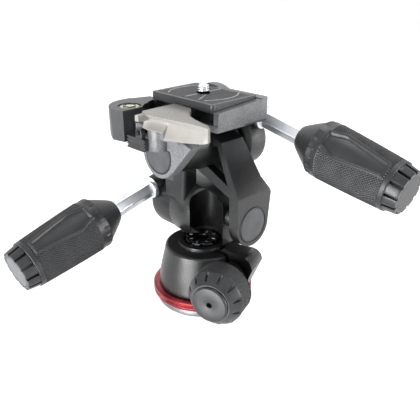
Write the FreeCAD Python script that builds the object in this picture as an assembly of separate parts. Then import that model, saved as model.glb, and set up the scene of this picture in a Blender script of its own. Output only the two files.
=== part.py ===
import FreeCAD, Part
import os
from math import cos, pi, radians, sin, sqrt

os.makedirs("parts", exist_ok=True)
V = FreeCAD.Vector

# Three way pan and tilt head. Millimetres.
# Origin: centre of the underside of the base disc, on the pan axis.
# +Z up, +Y towards the lens, +X to the operator's right.

# ---- clearances and fits ----------------------------------------------------
run_fit = 0.05          # radial play of a shaft in its bush
gap = 0.35              # air between pieces of different bodies
run_gap = 0.4           # air round a piece that sweeps past another
slip = 0.15             # drop-in play between pieces of one body
screw_play = 0.25       # radial play of a screw in its hole

# ---- base and pan bearing ---------------------------------------------------
base_radius = 29.0
base_thick = 5.2
base_edge = 0.8
tripod_thread_radius = 4.7625
tripod_thread_depth = 13.0
insert_radius = 7.5
insert_flange_radius = 9.5
insert_flange = 1.5
ring_radius = 31.4
ring_bore = 22.4
ring_height = 6.1
ring_chamfer = 1.6
ring_groove = 0.8
ring_notches = 12
ring_notch_depth = 1.0
ring_notch_width = 3.0
spindle_foot_radius = 22.0
spindle_foot = 3.0
spindle_radius = 9.0
spindle_neck_radius = 6.6
spindle_socket_radius = 3.6
spindle_socket_depth = 3.0
thrust_washer_radius = 13.8
thrust_washer_thick = 3.0
lock_nut_radius = 10.4
lock_nut_height = 2.6
lock_nut_notches = 8
lock_nut_notch = 2.6
wave_washer_radius = 9.8
wave_washer_thick = 0.8

# ---- pan housing: tapered cup with a split clamp ----------------------------
cup_foot_radius = 27.8
cup_waist_radius = 26.6
cup_waist_height = 8.8
cup_top_radius = 22.9
cup_height = 25.55
cup_rim_round = 1.8
cup_wall = 3.4
cup_roof = 8.2
clamp_sleeve = 5.0
slit_width = 1.6
slit_y = -1.8
clamp_azimuth = 20.0
clamp_offset = 26.9
clamp_drop = 11.3            # the bolt's axis below the cup's top
clamp_lobe_radius = 9.5
clamp_lobe_start = -24.3
ear_rise = 2.6
ear_reach = 12.4             # beyond the bolt's axis
ear_knee = 9.4
ear_hip = 5.1
ear_hip_drop = 10.4
ear_far = 1.5
ear_round = 6.5
clamp_bolt_radius = 2.5
clamp_nut_flats = 8.0
clamp_nut_thick = 4.0
clamp_bolt_reach = 25.6

# ---- pan knob ---------------------------------------------------------------
knob_radius = 16.8
knob_length = 20.8
knob_back_radius = 15.6
knob_front_radius = 13.0
knob_shoulder = 0.5
knob_slots = 12
knob_slot_width = 1.1
knob_slot_depth = 1.3
knob_skin = 1.6
knob_skin_start = 2.0
knob_skin_length = 12.4
knob_cap_radius = 12.2
knob_cap_rise = 1.8
knob_cap_seat = 2.4
knob_cap_round = 1.3
knob_socket_flats = 3.6
knob_socket_depth = 3.0

# ---- pedestal: foot, cross barrel with the niche, tilt bearing --------------
post_radius = 15.1
post_sunk = 4.2
post_floor_thick = 3.9
sill_rise = 2.1
nut_recess_radius = 11.7
nut_recess_rise = 4.0
niche_azimuth = -42.0
niche_radius = 9.9
niche_offset = 2.0           # the niche's middle beside the pan axis
niche_rise = 17.3            # top of its arch above the tilt axis
niche_roof = 3.0             # wall left over the niche
tilt_y = 9.0
flank_radius = 20.2
flank_left = -18.0
flank_right = 16.4
saddle_back = -1.5
saddle_front = 22.0
bearing_boss_radius = 6.2

# ---- tilt pivots ------------------------------------------------------------
drum_radius = 10.0
drum_out = 16.5
spigot_radius = 6.0
spigot_length = 4.6
pivot_radius = 4.0
pivot_sunk = 3.0
bush_wall = 1.1

# ---- tilt yoke --------------------------------------------------------------
hub_radius = 19.4
hub_width = 21.15
hub_round = 6.0
hub_cap_radius = 10.5
hub_cap_thick = 2.6
hub_cap_sunk = 0.3
hub_slit_depth = 13.0
ring_outer = 33.3
ring_width = 6.8
eye_radius = 13.2
cap_radius = 10.6
cap_thick = 2.2
yoke_back = -4.2
yoke_front = 24.0
crease_rise = 19.2           # the arm's crease above the tilt axis
crease_drop = 2.0
arm_shoulder_x = 19.6
arm_shoulder_rise = 5.0      # above the side axis
arm_tip_x = 9.0
arm_tip_rise = 10.6
arm_inner_x = 16.6
arm_inner_rise = 2.8
arm_top_front = 12.0
arm_mid_front = 18.5
arm_mid_rise = 7.8
rib_depth = 5.4
rib_foot = 1.0
rib_foot_thick = 6.5
rib_top_x = 9.0
rib_top_drop = 11.2
rib_tip_x = -3.0
rib_tip_drop = 12.7
rib_tip_thick = 0.9
web_back = 7.0
web_thick = 5.0
web_foot_drop = 3.0
web_tip_drop = 17.0
side_rise = 44.2             # the side axis above the tilt axis
link_back = -10.0
link_front = 0.0
link_round = 3.0
link_start = 9.0
link_left = -24.0
link_shelf = 19.3
link_outer = -16.65
link_knee = 12.7
link_elbow_x = -14.2
link_elbow = 9.7
link_tip_x = -13.0
link_tip = 5.2
link_inner_x = -5.0
link_inner = 9.2
barrel_back = -24.5
barrel_front = 18.0
barrel_back_radius = 11.7
barrel_radius = 13.9
barrel_flare_y = -6.0
barrel_edge = 1.0
neck_radius = 10.6
side_shaft_radius = 7.0
shaft_back_sunk = 2.4
shaft_front_sunk = 2.8

# ---- platform ---------------------------------------------------------------
hub2_back = 21.2
hub2_length = 17.2
hub2_radius = 17.4
hub2_drop = 2.6
hub2_round = 3.0
hub2_chamfer = 2.6
hub2_neck = 9.0
side_cap_radius = 10.4
plate_left = -24.3
plate_right = 24.7
plate_back = -16.0
plate_front = 18.6
plate_slab = 4.4
plate_corner = 1.6
dovetail_height = 6.15
dovetail_half = 20.0
dovetail_inset = 6.5
dovetail_flare = 2.4
pad_border = 2.6
pad_depth = 1.0
pad_rise = 0.4
deck_air = 0.9               # between the barrel and the deck
deck_thick = 3.3
deck_left = -24.0
deck_relief_x = -10.0
deck_relief = 2.2
rail_width = 3.5
wall_right = 28.5
wall_back = -15.4
wall_front = 25.0
wall_rise = 7.0              # above the deck, at the back
wall_climb = 2.4             # further rise to the front
wall_drop = 0.4
wall_corner = 3.0
lip_left = -22.0
lip_bump_left = -21.8
lip_bump_right = -2.2
lip_bump = 2.3
cheek_back = -32.6
cheek_thick = 7.0
cheek_radius = 12.7
cheek_left = -13.4
cheek_edge_x = 9.4
cheek_edge_drop = 9.2        # below the side axis
cheek_corner_x = 26.0
cheek_corner_drop = 7.15     # below the shelf's top
cheek_tip_x = 20.4
shelf_thick = 5.45
shelf_out = 4.0
bridge_back = -24.0
bridge_thick = 1.65
rear_cap_radius = 9.8
cap_proud = 0.3
cap_sunk = 0.2
scoop_radius = 10.0
scoop_x = 18.5
scoop_y = -26.5
scoop_floor = 1.2
scoop_wall = 1.6

# ---- camera screw -----------------------------------------------------------
camera_thread_radius = 3.175
camera_thread_length = 4.0
camera_thread_lead = 0.6
camera_neck_radius = 2.4
screw_head_radius = 9.0
screw_head = 2.6

# ---- level bracket and vial -------------------------------------------------
bracket_rise = 5.7           # above the deck
bracket_strip = 6.8
bracket_bowl = 17.0
bracket_slope = 7.0
bracket_front = -11.0
bracket_bowl_front = -22.0
bracket_left = -36.8
bracket_tip_x = -32.2
bracket_bend_y = -25.0
bracket_shoulder_x = -33.2
bracket_shoulder_y = -38.6
bracket_toe_x = -23.0
bracket_toe_y = -45.2
bracket_right = -14.6
bracket_right_y = -43.6
bracket_heel_y = -31.0
bracket_waist_x = -19.8
bracket_waist_y = -24.6
vial_x = -22.0
vial_y = -33.6
vial_radius = 6.3
vial_height = 6.0
vial_ring = 1.1
vial_sunk = 0.4

# ---- quick release lever and safety catch -----------------------------------
lever_x = 2.0
lever_y = -33.6
lever_boss_radius = 5.6
lever_boss_height = 12.2
lever_drop = 1.1             # the lever's underside below the deck's top
lever_height = 8.1
lever_skin = 1.6
lever_nose_radius = 17.0
lever_left = -4.4
lever_back_y = -38.0
lever_heel_x = 1.0
lever_belly_x = 9.0
lever_belly_y = -42.4
lever_tip_x = 41.5
lever_edge_y = -37.4
lever_tip_y = -34.6
lever_tip_round = 1.4
lever_neck_x = 33.0
lever_neck_y = -33.2
lever_bay_x = 23.0
lever_bay_y = -29.2
lever_throat_x = 17.6
lever_throat_y = -26.0
lever_mouth_x = 14.6
lever_mouth_y = -21.4
lever_nose_x = 9.0
lever_scoop_radius = 6.1
lever_scoop_depth = 1.4
lever_scoop_drop = 4.6
lever_scoop_lead = 4.0
skirt_start = 10.6
skirt_drop = 4.2
tab_left = -1.0
tab_right = 3.2
tab_back = -48.6
tab_height = 4.2
lever_pin_radius = 2.4
lever_pin_foot = 8.45
spring_radius = 4.0
spring_wire = 0.9
spring_turns = 3
spring_seat_depth = 5.0
catch_x = -4.0
catch_pin_drop = 2.65
catch_height = 9.6
catch_neck = 2.9
catch_left = -13.6
catch_right = 1.0
catch_back = -43.0
catch_thick = 3.55
catch_pin_radius = 1.3
catch_boss_radius = 2.6
catch_ribs = 4
catch_rib = 0.7

# ---- handles ----------------------------------------------------------------
handle_x = -34.5
handle_collar_y = -10.4
handle_collar_rise = 10.5
handle_slope = 13.6
side_handle_y = 32.4
side_collar_x = 16.4
side_collar_rise = 13.2
side_slope = 12.3
handle_boss_radius = 6.4
side_lug_length = 26.0
rod_flats = 9.6
rod_free = 31.0
rod_in_grip = 34.0
screw_radius = 4.0
screw_length = 24.0
screw_hole_extra = 2.0
collar_radius = 7.0
collar_thick = 3.8
collar_edge = 0.7
lug_length = 27.0
grip_start_radius = 6.8
grip_cone = 13.5
grip_shoulder_radius = 15.4
grip_shoulder = 3.0
grip_radius = 15.9
grip_radius_at = 20.0
grip_end_radius = 13.7
grip_end = 60.0
end_ring = 7.0
end_ring_radius = 13.0
end_ring_taper = 1.2
end_slots = 12
end_slot_width = 1.6
end_slot_depth = 1.3
end_disc_radius = 9.0
end_disc_thick = 1.6

# ---- places worked out from the sizes above ---------------------------------
ring_top = base_thick + ring_height
washer_seat = base_thick + spindle_foot
cup_foot = ring_top + gap
cup_top = cup_foot + cup_height
cup_cavity_top = cup_top - cup_roof
clamp_z = cup_top - clamp_drop
post_foot = cup_top - post_sunk
post_floor = post_foot + post_floor_thick
sill = cup_top + sill_rise
wave_seat = post_floor + gap
nut_seat = wave_seat + wave_washer_thick
tilt_z = cup_top + run_gap + hub_radius
side_z = tilt_z + side_rise
crease_z = tilt_z + crease_rise
hub_right = flank_left - gap
hub_left = hub_right - hub_width
drum_left = flank_left - drum_out
ring_inner = ring_outer - ring_width
cap_seat = ring_outer - cap_thick
cheek_front = cheek_back + cheek_thick
hub2_front = hub2_back + hub2_length
deck_bottom = side_z + barrel_radius + deck_air
deck_top = deck_bottom + deck_thick
slab_under = deck_top + slip + dovetail_height
plate_top = slab_under + plate_slab
wall_top = deck_top + wall_rise
lip_top = wall_top + wall_climb
lever_bottom = deck_top - lever_drop
lever_top = lever_bottom + lever_height
shelf_top = lever_bottom - gap
shelf_bottom = shelf_top - shelf_thick
boss_bottom = shelf_top - lever_boss_height
bracket_top = deck_top + bracket_rise
catch_z = shelf_top - catch_pin_drop
catch_front = catch_back + catch_thick
tilt_axis = V(0, tilt_y, tilt_z)
side_axis = V(0, 0, side_z)
screw_x = (plate_left + plate_right) / 2
screw_y = (plate_back + plate_front) / 2
screw_foot = deck_top + run_gap
far = plate_top              # longer than any cut has to be


# ---- helpers ----------------------------------------------------------------
def rod(radius, start, end, axis="Z", x=0.0, y=0.0, z=0.0):
    """Cylinder from start to end along one axis, through x, y, z."""
    if axis == "X":
        return Part.makeCylinder(radius, end - start, V(start, y, z), V(1, 0, 0))
    if axis == "Y":
        return Part.makeCylinder(radius, end - start, V(x, start, z), V(0, 1, 0))
    return Part.makeCylinder(radius, end - start, V(x, y, start), V(0, 0, 1))


def box(x0, x1, y0, y1, z0, z1):
    return Part.makeBox(x1 - x0, y1 - y0, z1 - z0, V(x0, y0, z0))


def prism(points, push):
    """Flat outline pushed along a vector. A triple of vectors is an arc through its middle."""
    edges = []
    here = points[0]
    for item in points[1:]:
        if isinstance(item, tuple):
            edges.append(Part.Arc(here, item[0], item[1]).toShape())
            here = item[1]
        else:
            edges.append(Part.LineSegment(here, item).toShape())
            here = item
    if (here - points[0]).Length > 1e-6:
        edges.append(Part.LineSegment(here, points[0]).toShape())
    return Part.Face(Part.Wire(edges)).extrude(push)


def lathe(profile, origin=V(0, 0, 0), axis=V(0, 0, 1)):
    """Closed radius and height profile turned about an axis through origin."""
    wire = Part.makePolygon([V(r, 0, h) for r, h in profile] + [V(profile[0][0], 0, profile[0][1])])
    turned = Part.Face(wire).revolve(V(0, 0, 0), V(0, 0, 1), 360)
    return stand(turned, origin, axis)


def stand(shape, origin, axis):
    """Moves a shape made along +Z so that its axis starts at origin and points along axis."""
    placed = shape.copy()
    turn = FreeCAD.Rotation(V(0, 0, 1), axis)
    placed.Placement = FreeCAD.Placement(origin, turn).multiply(placed.Placement)
    return placed


def hexagon(flats, start, end):
    """Hexagonal bar along +Z."""
    corner = flats / 2 / cos(pi / 6)
    points = [V(corner * cos(i * pi / 3), corner * sin(i * pi / 3), start) for i in range(6)]
    return Part.Face(Part.makePolygon(points + points[:1])).extrude(V(0, 0, end - start))


def spin(shape, count, origin=V(0, 0, 0), axis=V(0, 0, 1)):
    """Copies of a shape spread evenly round an axis."""
    copies = []
    for i in range(count):
        turned = shape.copy()
        turned.rotate(origin, axis, 360 * i / count)
        copies.append(turned)
    return copies


def round_edges(shape, radius, chosen):
    """Fillets the edges whose middle point passes the test."""
    edges = [e for e in shape.Edges if chosen(e.valueAt((e.FirstParameter + e.LastParameter) / 2), e)]
    return shape.makeFillet(radius, edges)


def circle_edge(edge, radius):
    return edge.Curve.TypeId == "Part::GeomCircle" and abs(edge.Curve.Radius - radius) < 1e-3


# ---- base: disc, thread insert, scale ring, spindle and lock nut ------------
def base_disc():
    disc = rod(base_radius, 0, base_thick)
    disc = disc.makeChamfer(base_edge, [e for e in disc.Edges if circle_edge(e, base_radius)])
    return disc.cut(rod(insert_radius, 0, base_thick)).cut(rod(insert_flange_radius, 0, insert_flange))


def thread_insert():
    bush = rod(insert_radius, 0, tripod_thread_depth).fuse(rod(insert_flange_radius, 0, insert_flange))
    return bush.cut(rod(tripod_thread_radius, 0, tripod_thread_depth)).removeSplitter()


def pan_ring():
    middle = base_thick + ring_height / 2
    ring = lathe([
        (ring_bore, base_thick),
        (ring_radius - ring_groove, base_thick),
        (ring_radius, base_thick + ring_groove),
        (ring_radius, middle - ring_groove),
        (ring_radius - ring_groove, middle),
        (ring_radius, middle + ring_groove),
        (ring_radius, ring_top - ring_groove),
        (ring_radius - ring_chamfer, ring_top),
        (ring_bore, ring_top),
    ])
    notch = box(
        ring_radius - ring_notch_depth, ring_radius + ring_notch_depth,
        -ring_notch_width / 2, ring_notch_width / 2,
        base_thick, base_thick + ring_notch_depth)
    return ring.cut(spin(notch, ring_notches))


def pan_spindle():
    spindle = rod(spindle_foot_radius, base_thick, washer_seat)
    spindle = spindle.fuse(rod(spindle_radius, washer_seat, post_floor))
    spindle = spindle.fuse(rod(spindle_neck_radius, post_floor, nut_seat + lock_nut_height))
    spindle = spindle.cut(rod(insert_radius, base_thick, tripod_thread_depth))
    socket_top = nut_seat + lock_nut_height
    return spindle.cut(rod(spindle_socket_radius, socket_top - spindle_socket_depth, socket_top))


def pan_lock_nut():
    nut = washer(lock_nut_radius, spindle_neck_radius, nut_seat, lock_nut_height)
    notch = box(
        lock_nut_radius - lock_nut_notch / 2, lock_nut_radius + lock_nut_notch,
        -lock_nut_notch / 2, lock_nut_notch / 2,
        nut_seat, nut_seat + lock_nut_height)
    return nut.cut(spin(notch, lock_nut_notches))


def washer(outer, inner, start, thick):
    return rod(outer, start, start + thick).cut(rod(inner, start, start + thick))


# ---- pan housing ------------------------------------------------------------
def to_clamp(shape):
    """Turns a piece drawn with the clamp bolt along +Y to its place round the pan axis."""
    turned = shape.copy()
    turned.rotate(V(0, 0, 0), V(0, 0, 1), clamp_azimuth)
    return turned


def clamp_rod(radius, start, end):
    """Cylinder along the clamp bolt, before it is turned to its place."""
    return rod(radius, start, end, "Y", clamp_offset, 0, clamp_z)


def clamp_ear():
    """Far lobe of the split clamp: the block beyond the slit that the bolt pulls on."""
    top = cup_top + ear_rise
    reach = clamp_offset + ear_reach
    corner = ear_round * (1 - sqrt(0.5))
    inside = cup_top_radius / 2
    start = clamp_lobe_start
    hip_z = clamp_z - ear_hip_drop
    points = [
        V(inside, start, hip_z - ear_rise),
        V(clamp_offset + ear_hip, start, hip_z),
        V(clamp_offset + ear_knee, start, clamp_z),
        V(reach, start, top - ear_round),
        (V(reach - corner, start, top - corner), V(reach - ear_round, start, top)),
        V(post_radius + ear_rise, start, top),
        V(post_radius + slip, start, cup_top),
        V(inside, start, cup_top),
    ]
    ear = to_clamp(prism(points, V(0, ear_far - start, 0)))
    return ear.common(box(0, far, slit_y + slit_width / 2, far, 0, top))


def clamp_lobe():
    """Near lobe of the split clamp, the seat behind the pan knob."""
    lobe = to_clamp(clamp_rod(clamp_lobe_radius, clamp_lobe_start, 0))
    return lobe.common(box(0, far, -far, slit_y, 0, far))


def pan_cup():
    waist = cup_foot + cup_waist_height
    outside = lathe([
        (0, cup_foot), (cup_foot_radius, cup_foot), (cup_waist_radius, waist),
        (cup_top_radius, cup_top), (0, cup_top)])
    outside = round_edges(outside, cup_rim_round, lambda p, e: circle_edge(e, cup_top_radius))
    sleeve = rod(spindle_radius + clamp_sleeve, cup_foot, cup_cavity_top)
    cavity = lathe([
        (0, cup_foot), (cup_foot_radius - cup_wall, cup_foot), (cup_waist_radius - cup_wall, waist),
        (cup_top_radius - cup_wall, cup_cavity_top), (0, cup_cavity_top)]).cut(sleeve)
    cup = outside.fuse([clamp_ear(), clamp_lobe()]).cut(cavity)
    cup = cup.cut(rod(spindle_radius + run_fit, cup_foot, cup_top))
    cup = cup.cut(rod(post_radius + slip, post_foot, far))
    cup = cup.cut(box(0, far, slit_y - slit_width / 2, slit_y + slit_width / 2, 0, far))
    bolt_hole = clamp_rod(clamp_bolt_radius + screw_play, clamp_lobe_start, ear_far)
    pocket = stand(
        hexagon(clamp_nut_flats + 2 * slip, 0, clamp_nut_thick + slip),
        V(clamp_offset, ear_far - clamp_nut_thick - slip, clamp_z), V(0, 1, 0))
    return cup.cut(to_clamp(bolt_hole)).cut(to_clamp(pocket)).removeSplitter()


def clamp_nut():
    nut = hexagon(clamp_nut_flats, 0, clamp_nut_thick)
    nut = nut.cut(rod(clamp_bolt_radius + run_fit, 0, clamp_nut_thick))
    return to_clamp(stand(nut, V(clamp_offset, ear_far - clamp_nut_thick, clamp_z), V(0, 1, 0)))


# ---- pan knob ---------------------------------------------------------------
def place_knob(shape):
    """Sets a knob piece, drawn from its back face at z = 0 outwards, on the clamp bolt's axis."""
    back = clamp_lobe_start - gap
    return to_clamp(stand(shape, V(clamp_offset, back, clamp_z), V(0, -1, 0)))


def pan_knob():
    """Knob body: groove for the knurled band, then a cone with twelve slots up to the cap."""
    band_end = knob_skin_start + knob_skin_length
    cone_start = band_end + knob_shoulder
    edge = knob_radius - knob_shoulder
    knob = lathe([
        (clamp_bolt_radius, 0), (knob_back_radius, 0), (knob_radius, knob_skin_start),
        (knob_radius - knob_skin, knob_skin_start), (knob_radius - knob_skin, band_end),
        (edge, band_end), (edge, cone_start), (knob_front_radius, knob_length),
        (clamp_bolt_radius, knob_length)])
    slot = prism([
        V(knob_cap_radius - slip, 0, knob_length),
        V(knob_cap_radius - slip, 0, knob_length - knob_slot_depth),
        V(edge - knob_slot_depth, 0, cone_start), V(edge - knob_slot_depth, 0, band_end),
        V(knob_radius, 0, band_end), V(knob_radius, 0, knob_length),
    ], V(0, knob_slot_width, 0))
    slot.translate(V(0, -knob_slot_width / 2, 0))
    knob = knob.cut(spin(slot, knob_slots))
    return place_knob(knob.cut(rod(knob_cap_radius + slip, knob_length - knob_cap_seat, knob_length)))


def pan_knob_band():
    return place_knob(washer(knob_radius, knob_radius - knob_skin, knob_skin_start, knob_skin_length))


def pan_knob_cap():
    seat = knob_length - knob_cap_seat
    top = knob_length + knob_cap_rise
    cap = rod(knob_cap_radius, seat, top)
    on_front = lambda p, e: circle_edge(e, knob_cap_radius) and p.z > knob_length
    cap = round_edges(cap, knob_cap_round, on_front)
    return place_knob(cap.cut(hexagon(knob_socket_flats, top - knob_socket_depth, top)))


def clamp_bolt():
    return place_knob(rod(clamp_bolt_radius, -clamp_bolt_reach, knob_length - knob_cap_seat))


# ---- pedestal: foot, cross barrel and the niche over the lock nut -----------
def tilt_rod(radius, start, end):
    return rod(radius, start, end, "X", 0, tilt_y, tilt_z)


def niche():
    """Mouse-hole pushed outwards through the barrel, with a round back about the pan axis."""
    way = V(cos(radians(niche_azimuth)), sin(radians(niche_azimuth)), 0)
    side = V(-way.y, way.x, 0)
    middle = side * niche_offset
    half = side * niche_radius
    top = V(0, 0, tilt_z + niche_rise)
    spring = V(0, 0, tilt_z + niche_rise - niche_radius)
    foot = V(0, 0, sill)
    window = prism([
        middle - half + foot, middle - half + spring, (middle + top, middle + half + spring),
        middle + half + foot,
    ], way * far)
    back = rod(niche_radius, sill, tilt_z + flank_radius - niche_roof, "Z", middle.x, middle.y)
    return window.fuse(back.common(tilt_rod(flank_radius - niche_roof, -far, far)))


def pan_post():
    barrel = tilt_rod(flank_radius, flank_left, flank_right)
    saddle = box(flank_left, flank_right, saddle_back, saddle_front, cup_top + gap, tilt_z)
    body = barrel.fuse(saddle).common(box(-far, far, -far, far, cup_top + gap, far))
    over_ear = to_clamp(box(post_radius, far, -far, far, 0, cup_top + ear_rise + slip))
    post = body.cut(over_ear).fuse(rod(post_radius, post_foot, sill))
    post = post.fuse(tilt_rod(bearing_boss_radius, nut_recess_radius, ring_inner - gap))
    post = post.cut(rod(nut_recess_radius, post_floor, sill + nut_recess_rise))
    post = post.cut(rod(spindle_radius + run_fit, post_foot, post_floor))
    post = post.cut(tilt_rod(pivot_radius, flank_right - pivot_sunk, ring_inner))
    post = post.cut(tilt_rod(spigot_radius + slip, flank_left, flank_left + spigot_length))
    return post.cut(niche()).removeSplitter()


# ---- tilt pivots ------------------------------------------------------------
def tilt_drum():
    drum = tilt_rod(drum_radius, drum_left, flank_left)
    return drum.fuse(tilt_rod(spigot_radius, flank_left, flank_left + spigot_length))


def tilt_pin():
    return tilt_rod(pivot_radius, flank_right - pivot_sunk, cap_seat - gap)


def tilt_bush():
    return tilt_rod(pivot_radius + bush_wall, ring_inner, cap_seat).cut(
        tilt_rod(pivot_radius + run_fit, ring_inner, cap_seat))


# ---- handle axes ------------------------------------------------------------
def handle_axis(which):
    """Start point on the collar and outward direction of a handle."""
    if which == "tilt":
        slope = radians(handle_slope)
        return V(handle_x, handle_collar_y, tilt_z + handle_collar_rise), V(0, -cos(slope), -sin(slope))
    slope = radians(side_slope)
    return V(side_collar_x, side_handle_y, side_z + side_collar_rise), V(cos(slope), 0, -sin(slope))


def on_handle(which, shape):
    origin, outward = handle_axis(which)
    return stand(shape, origin, outward)


def clamp_slit(which, centre):
    """Slit across a handle where it passes its pivot."""
    origin, outward = handle_axis(which)
    middle = (centre - origin).dot(outward)
    return on_handle(which, box(-far, far, -far, far, middle - slit_width / 2, middle + slit_width / 2))


def split_clamp(casting, which, bore, slit, lug):
    """Adds the handle's lug to a hub, bores it, slits it and drills it for the handle's screw."""
    spot_face = on_handle(which, rod(collar_radius + run_gap, -gap, rod_free))
    boss = on_handle(which, rod(handle_boss_radius, -lug, -gap))
    casting = casting.cut(spot_face).fuse(boss).cut(bore).cut(slit)
    return casting.cut(on_handle(which, rod(screw_radius + run_fit, -screw_length - screw_hole_extra, 0)))


# ---- tilt yoke --------------------------------------------------------------
def yoke_arm():
    """Right arm: upright to the crease, then leaning in and over the upper barrel."""
    low = tilt_z - eye_radius
    top = side_z + arm_tip_rise
    band = prism([
        V(ring_outer, yoke_back, low), V(ring_outer, yoke_back, crease_z),
        V(arm_shoulder_x, yoke_back, side_z + arm_shoulder_rise), V(arm_tip_x, yoke_back, top),
        V(arm_tip_x, yoke_back, side_z), V(arm_inner_x, yoke_back, side_z + arm_inner_rise),
        V(ring_inner, yoke_back, crease_z + crease_drop), V(ring_inner, yoke_back, low),
    ], V(0, yoke_front - yoke_back, 0))
    outline = prism([
        V(0, yoke_back, tilt_z), V(0, yoke_back, top), V(0, arm_top_front, top),
        V(0, arm_mid_front, crease_z + arm_mid_rise), V(0, yoke_front, crease_z - crease_drop),
        V(0, tilt_y + eye_radius, tilt_z),
    ], V(ring_outer, 0, 0))
    return band.common(outline).fuse(tilt_rod(eye_radius, ring_inner, ring_outer))


def yoke_rib():
    """Diagonal rib from the arm's crease up to the underside of the barrel."""
    return prism([
        V(ring_inner + rib_foot, yoke_back, crease_z - rib_foot),
        V(ring_inner, yoke_back, crease_z - rib_foot + rib_foot_thick),
        V(rib_top_x, yoke_back, side_z - rib_top_drop),
        V(rib_tip_x, yoke_back, side_z - rib_tip_drop),
        V(rib_tip_x, yoke_back, side_z - rib_tip_drop - rib_tip_thick),
    ], V(0, rib_depth, 0))


def yoke_web():
    """Wall that closes the triangle between arm, rib and barrel."""
    return prism([
        V(ring_inner + rib_foot, web_back, crease_z - web_foot_drop),
        V(ring_inner, web_back, crease_z + crease_drop),
        V(arm_inner_x, web_back, side_z), V(rib_tip_x, web_back, side_z),
        V(rib_tip_x, web_back, side_z - web_tip_drop),
    ], V(0, web_thick, 0))


def yoke_link():
    """Left wall from the hub, up between the pedestal and the platform, to the barrel."""
    shelf = tilt_z + link_shelf
    link = prism([
        V(link_left, link_back, tilt_z + link_start), V(link_left, link_back, shelf),
        V(link_outer, link_back, shelf), V(link_outer, link_back, side_z - link_knee),
        V(link_elbow_x, link_back, side_z - link_elbow), V(link_tip_x, link_back, side_z - link_tip),
        V(link_inner_x, link_back, side_z - link_inner), V(link_inner_x, link_back, tilt_z + link_start),
    ], V(0, link_front - link_back, 0))
    walls = (link_outer, link_left, link_inner_x)
    on_wall = lambda p, e: abs(p.y - link_back) < slip and min(abs(p.x - wall) for wall in walls) < slip
    return round_edges(link, link_round, on_wall)


def yoke_barrel():
    neck = hub2_back - gap
    return lathe([
        (side_shaft_radius, barrel_back), (barrel_back_radius - barrel_edge, barrel_back),
        (barrel_back_radius, barrel_back + barrel_edge), (barrel_radius, barrel_flare_y),
        (barrel_radius, barrel_front - barrel_edge), (barrel_radius - barrel_edge, barrel_front),
        (neck_radius, barrel_front), (neck_radius, neck), (side_shaft_radius, neck),
    ], V(0, 0, side_z), V(0, 1, 0))


def tilt_yoke():
    hub = tilt_rod(hub_radius, hub_left, hub_right)
    hub = hub.makeFillet(hub_round, [e for e in hub.Edges if circle_edge(e, hub_radius)
                                     and e.CenterOfMass.x < drum_left])
    frame = yoke_arm().fuse([yoke_rib(), yoke_web()])
    frame = frame.cut(tilt_rod(flank_radius + run_gap, hub_right, flank_right + run_gap))
    link = yoke_link().cut(tilt_rod(flank_radius + run_gap, hub_right, 0))
    frame = frame.fuse(link).cut(side_rod(side_shaft_radius + slip, -far, far))
    yoke = frame.fuse([yoke_barrel(), hub])
    bore = tilt_rod(drum_radius + run_fit, hub_left, hub_right)
    bore = bore.fuse(tilt_rod(hub_cap_radius + slip, hub_left, hub_left + hub_cap_thick + hub_cap_sunk))
    above = box(-far, hub_left + hub_slit_depth, -far, far, tilt_z, far)
    yoke = split_clamp(yoke, "tilt", bore, clamp_slit("tilt", tilt_axis).common(above), lug_length)
    yoke = yoke.cut(tilt_rod(pivot_radius + bush_wall, ring_inner, ring_outer))
    return yoke.cut(tilt_rod(cap_radius + slip, cap_seat, ring_outer)).removeSplitter()


def hub_cap():
    start = hub_left + hub_cap_sunk
    return tilt_rod(hub_cap_radius, start, start + hub_cap_thick)


def arm_cap():
    return tilt_rod(cap_radius, cap_seat, cap_seat + cap_thick)


def side_shaft():
    """Shaft through the barrel that carries the platform at both ends."""
    return side_rod(side_shaft_radius, cheek_back + shaft_back_sunk, hub2_front - shaft_front_sunk)


# ---- platform ---------------------------------------------------------------
def side_rod(radius, start, end):
    return rod(radius, start, end, "Y", 0, 0, side_z)


def lever_rod(radius, start, end):
    return rod(radius, start, end, "Z", lever_x, lever_y)


def cheek():
    """Rear flank of the platform, round about the side axis with one sloping edge."""
    plate = prism([
        V(cheek_edge_x, cheek_back, side_z - cheek_edge_drop),
        V(cheek_corner_x, cheek_back, shelf_top - cheek_corner_drop),
        V(cheek_tip_x, cheek_back, shelf_bottom), V(cheek_tip_x, cheek_back, shelf_top),
        V(cheek_left, cheek_back, shelf_top), V(cheek_left, cheek_back, side_z), V(0, cheek_back, side_z),
    ], V(0, cheek_thick, 0))
    return plate.fuse(side_rod(cheek_radius, cheek_back, cheek_front))


def far_hub():
    """Front bearing of the platform, hanging a little below the side axis."""
    hub = rod(hub2_radius, hub2_back, hub2_front, "Y", 0, 0, side_z - hub2_drop)
    hub = hub.makeFillet(hub2_round, [e for e in hub.Edges if circle_edge(e, hub2_radius)
                                      and e.CenterOfMass.y > side_handle_y])
    hub = hub.makeChamfer(hub2_chamfer, [e for e in hub.Edges if circle_edge(e, hub2_radius)
                                         and e.CenterOfMass.y < side_handle_y])
    return hub.fuse(box(-hub2_neck, hub2_neck, hub2_back, wall_front, side_z, deck_bottom))


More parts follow.
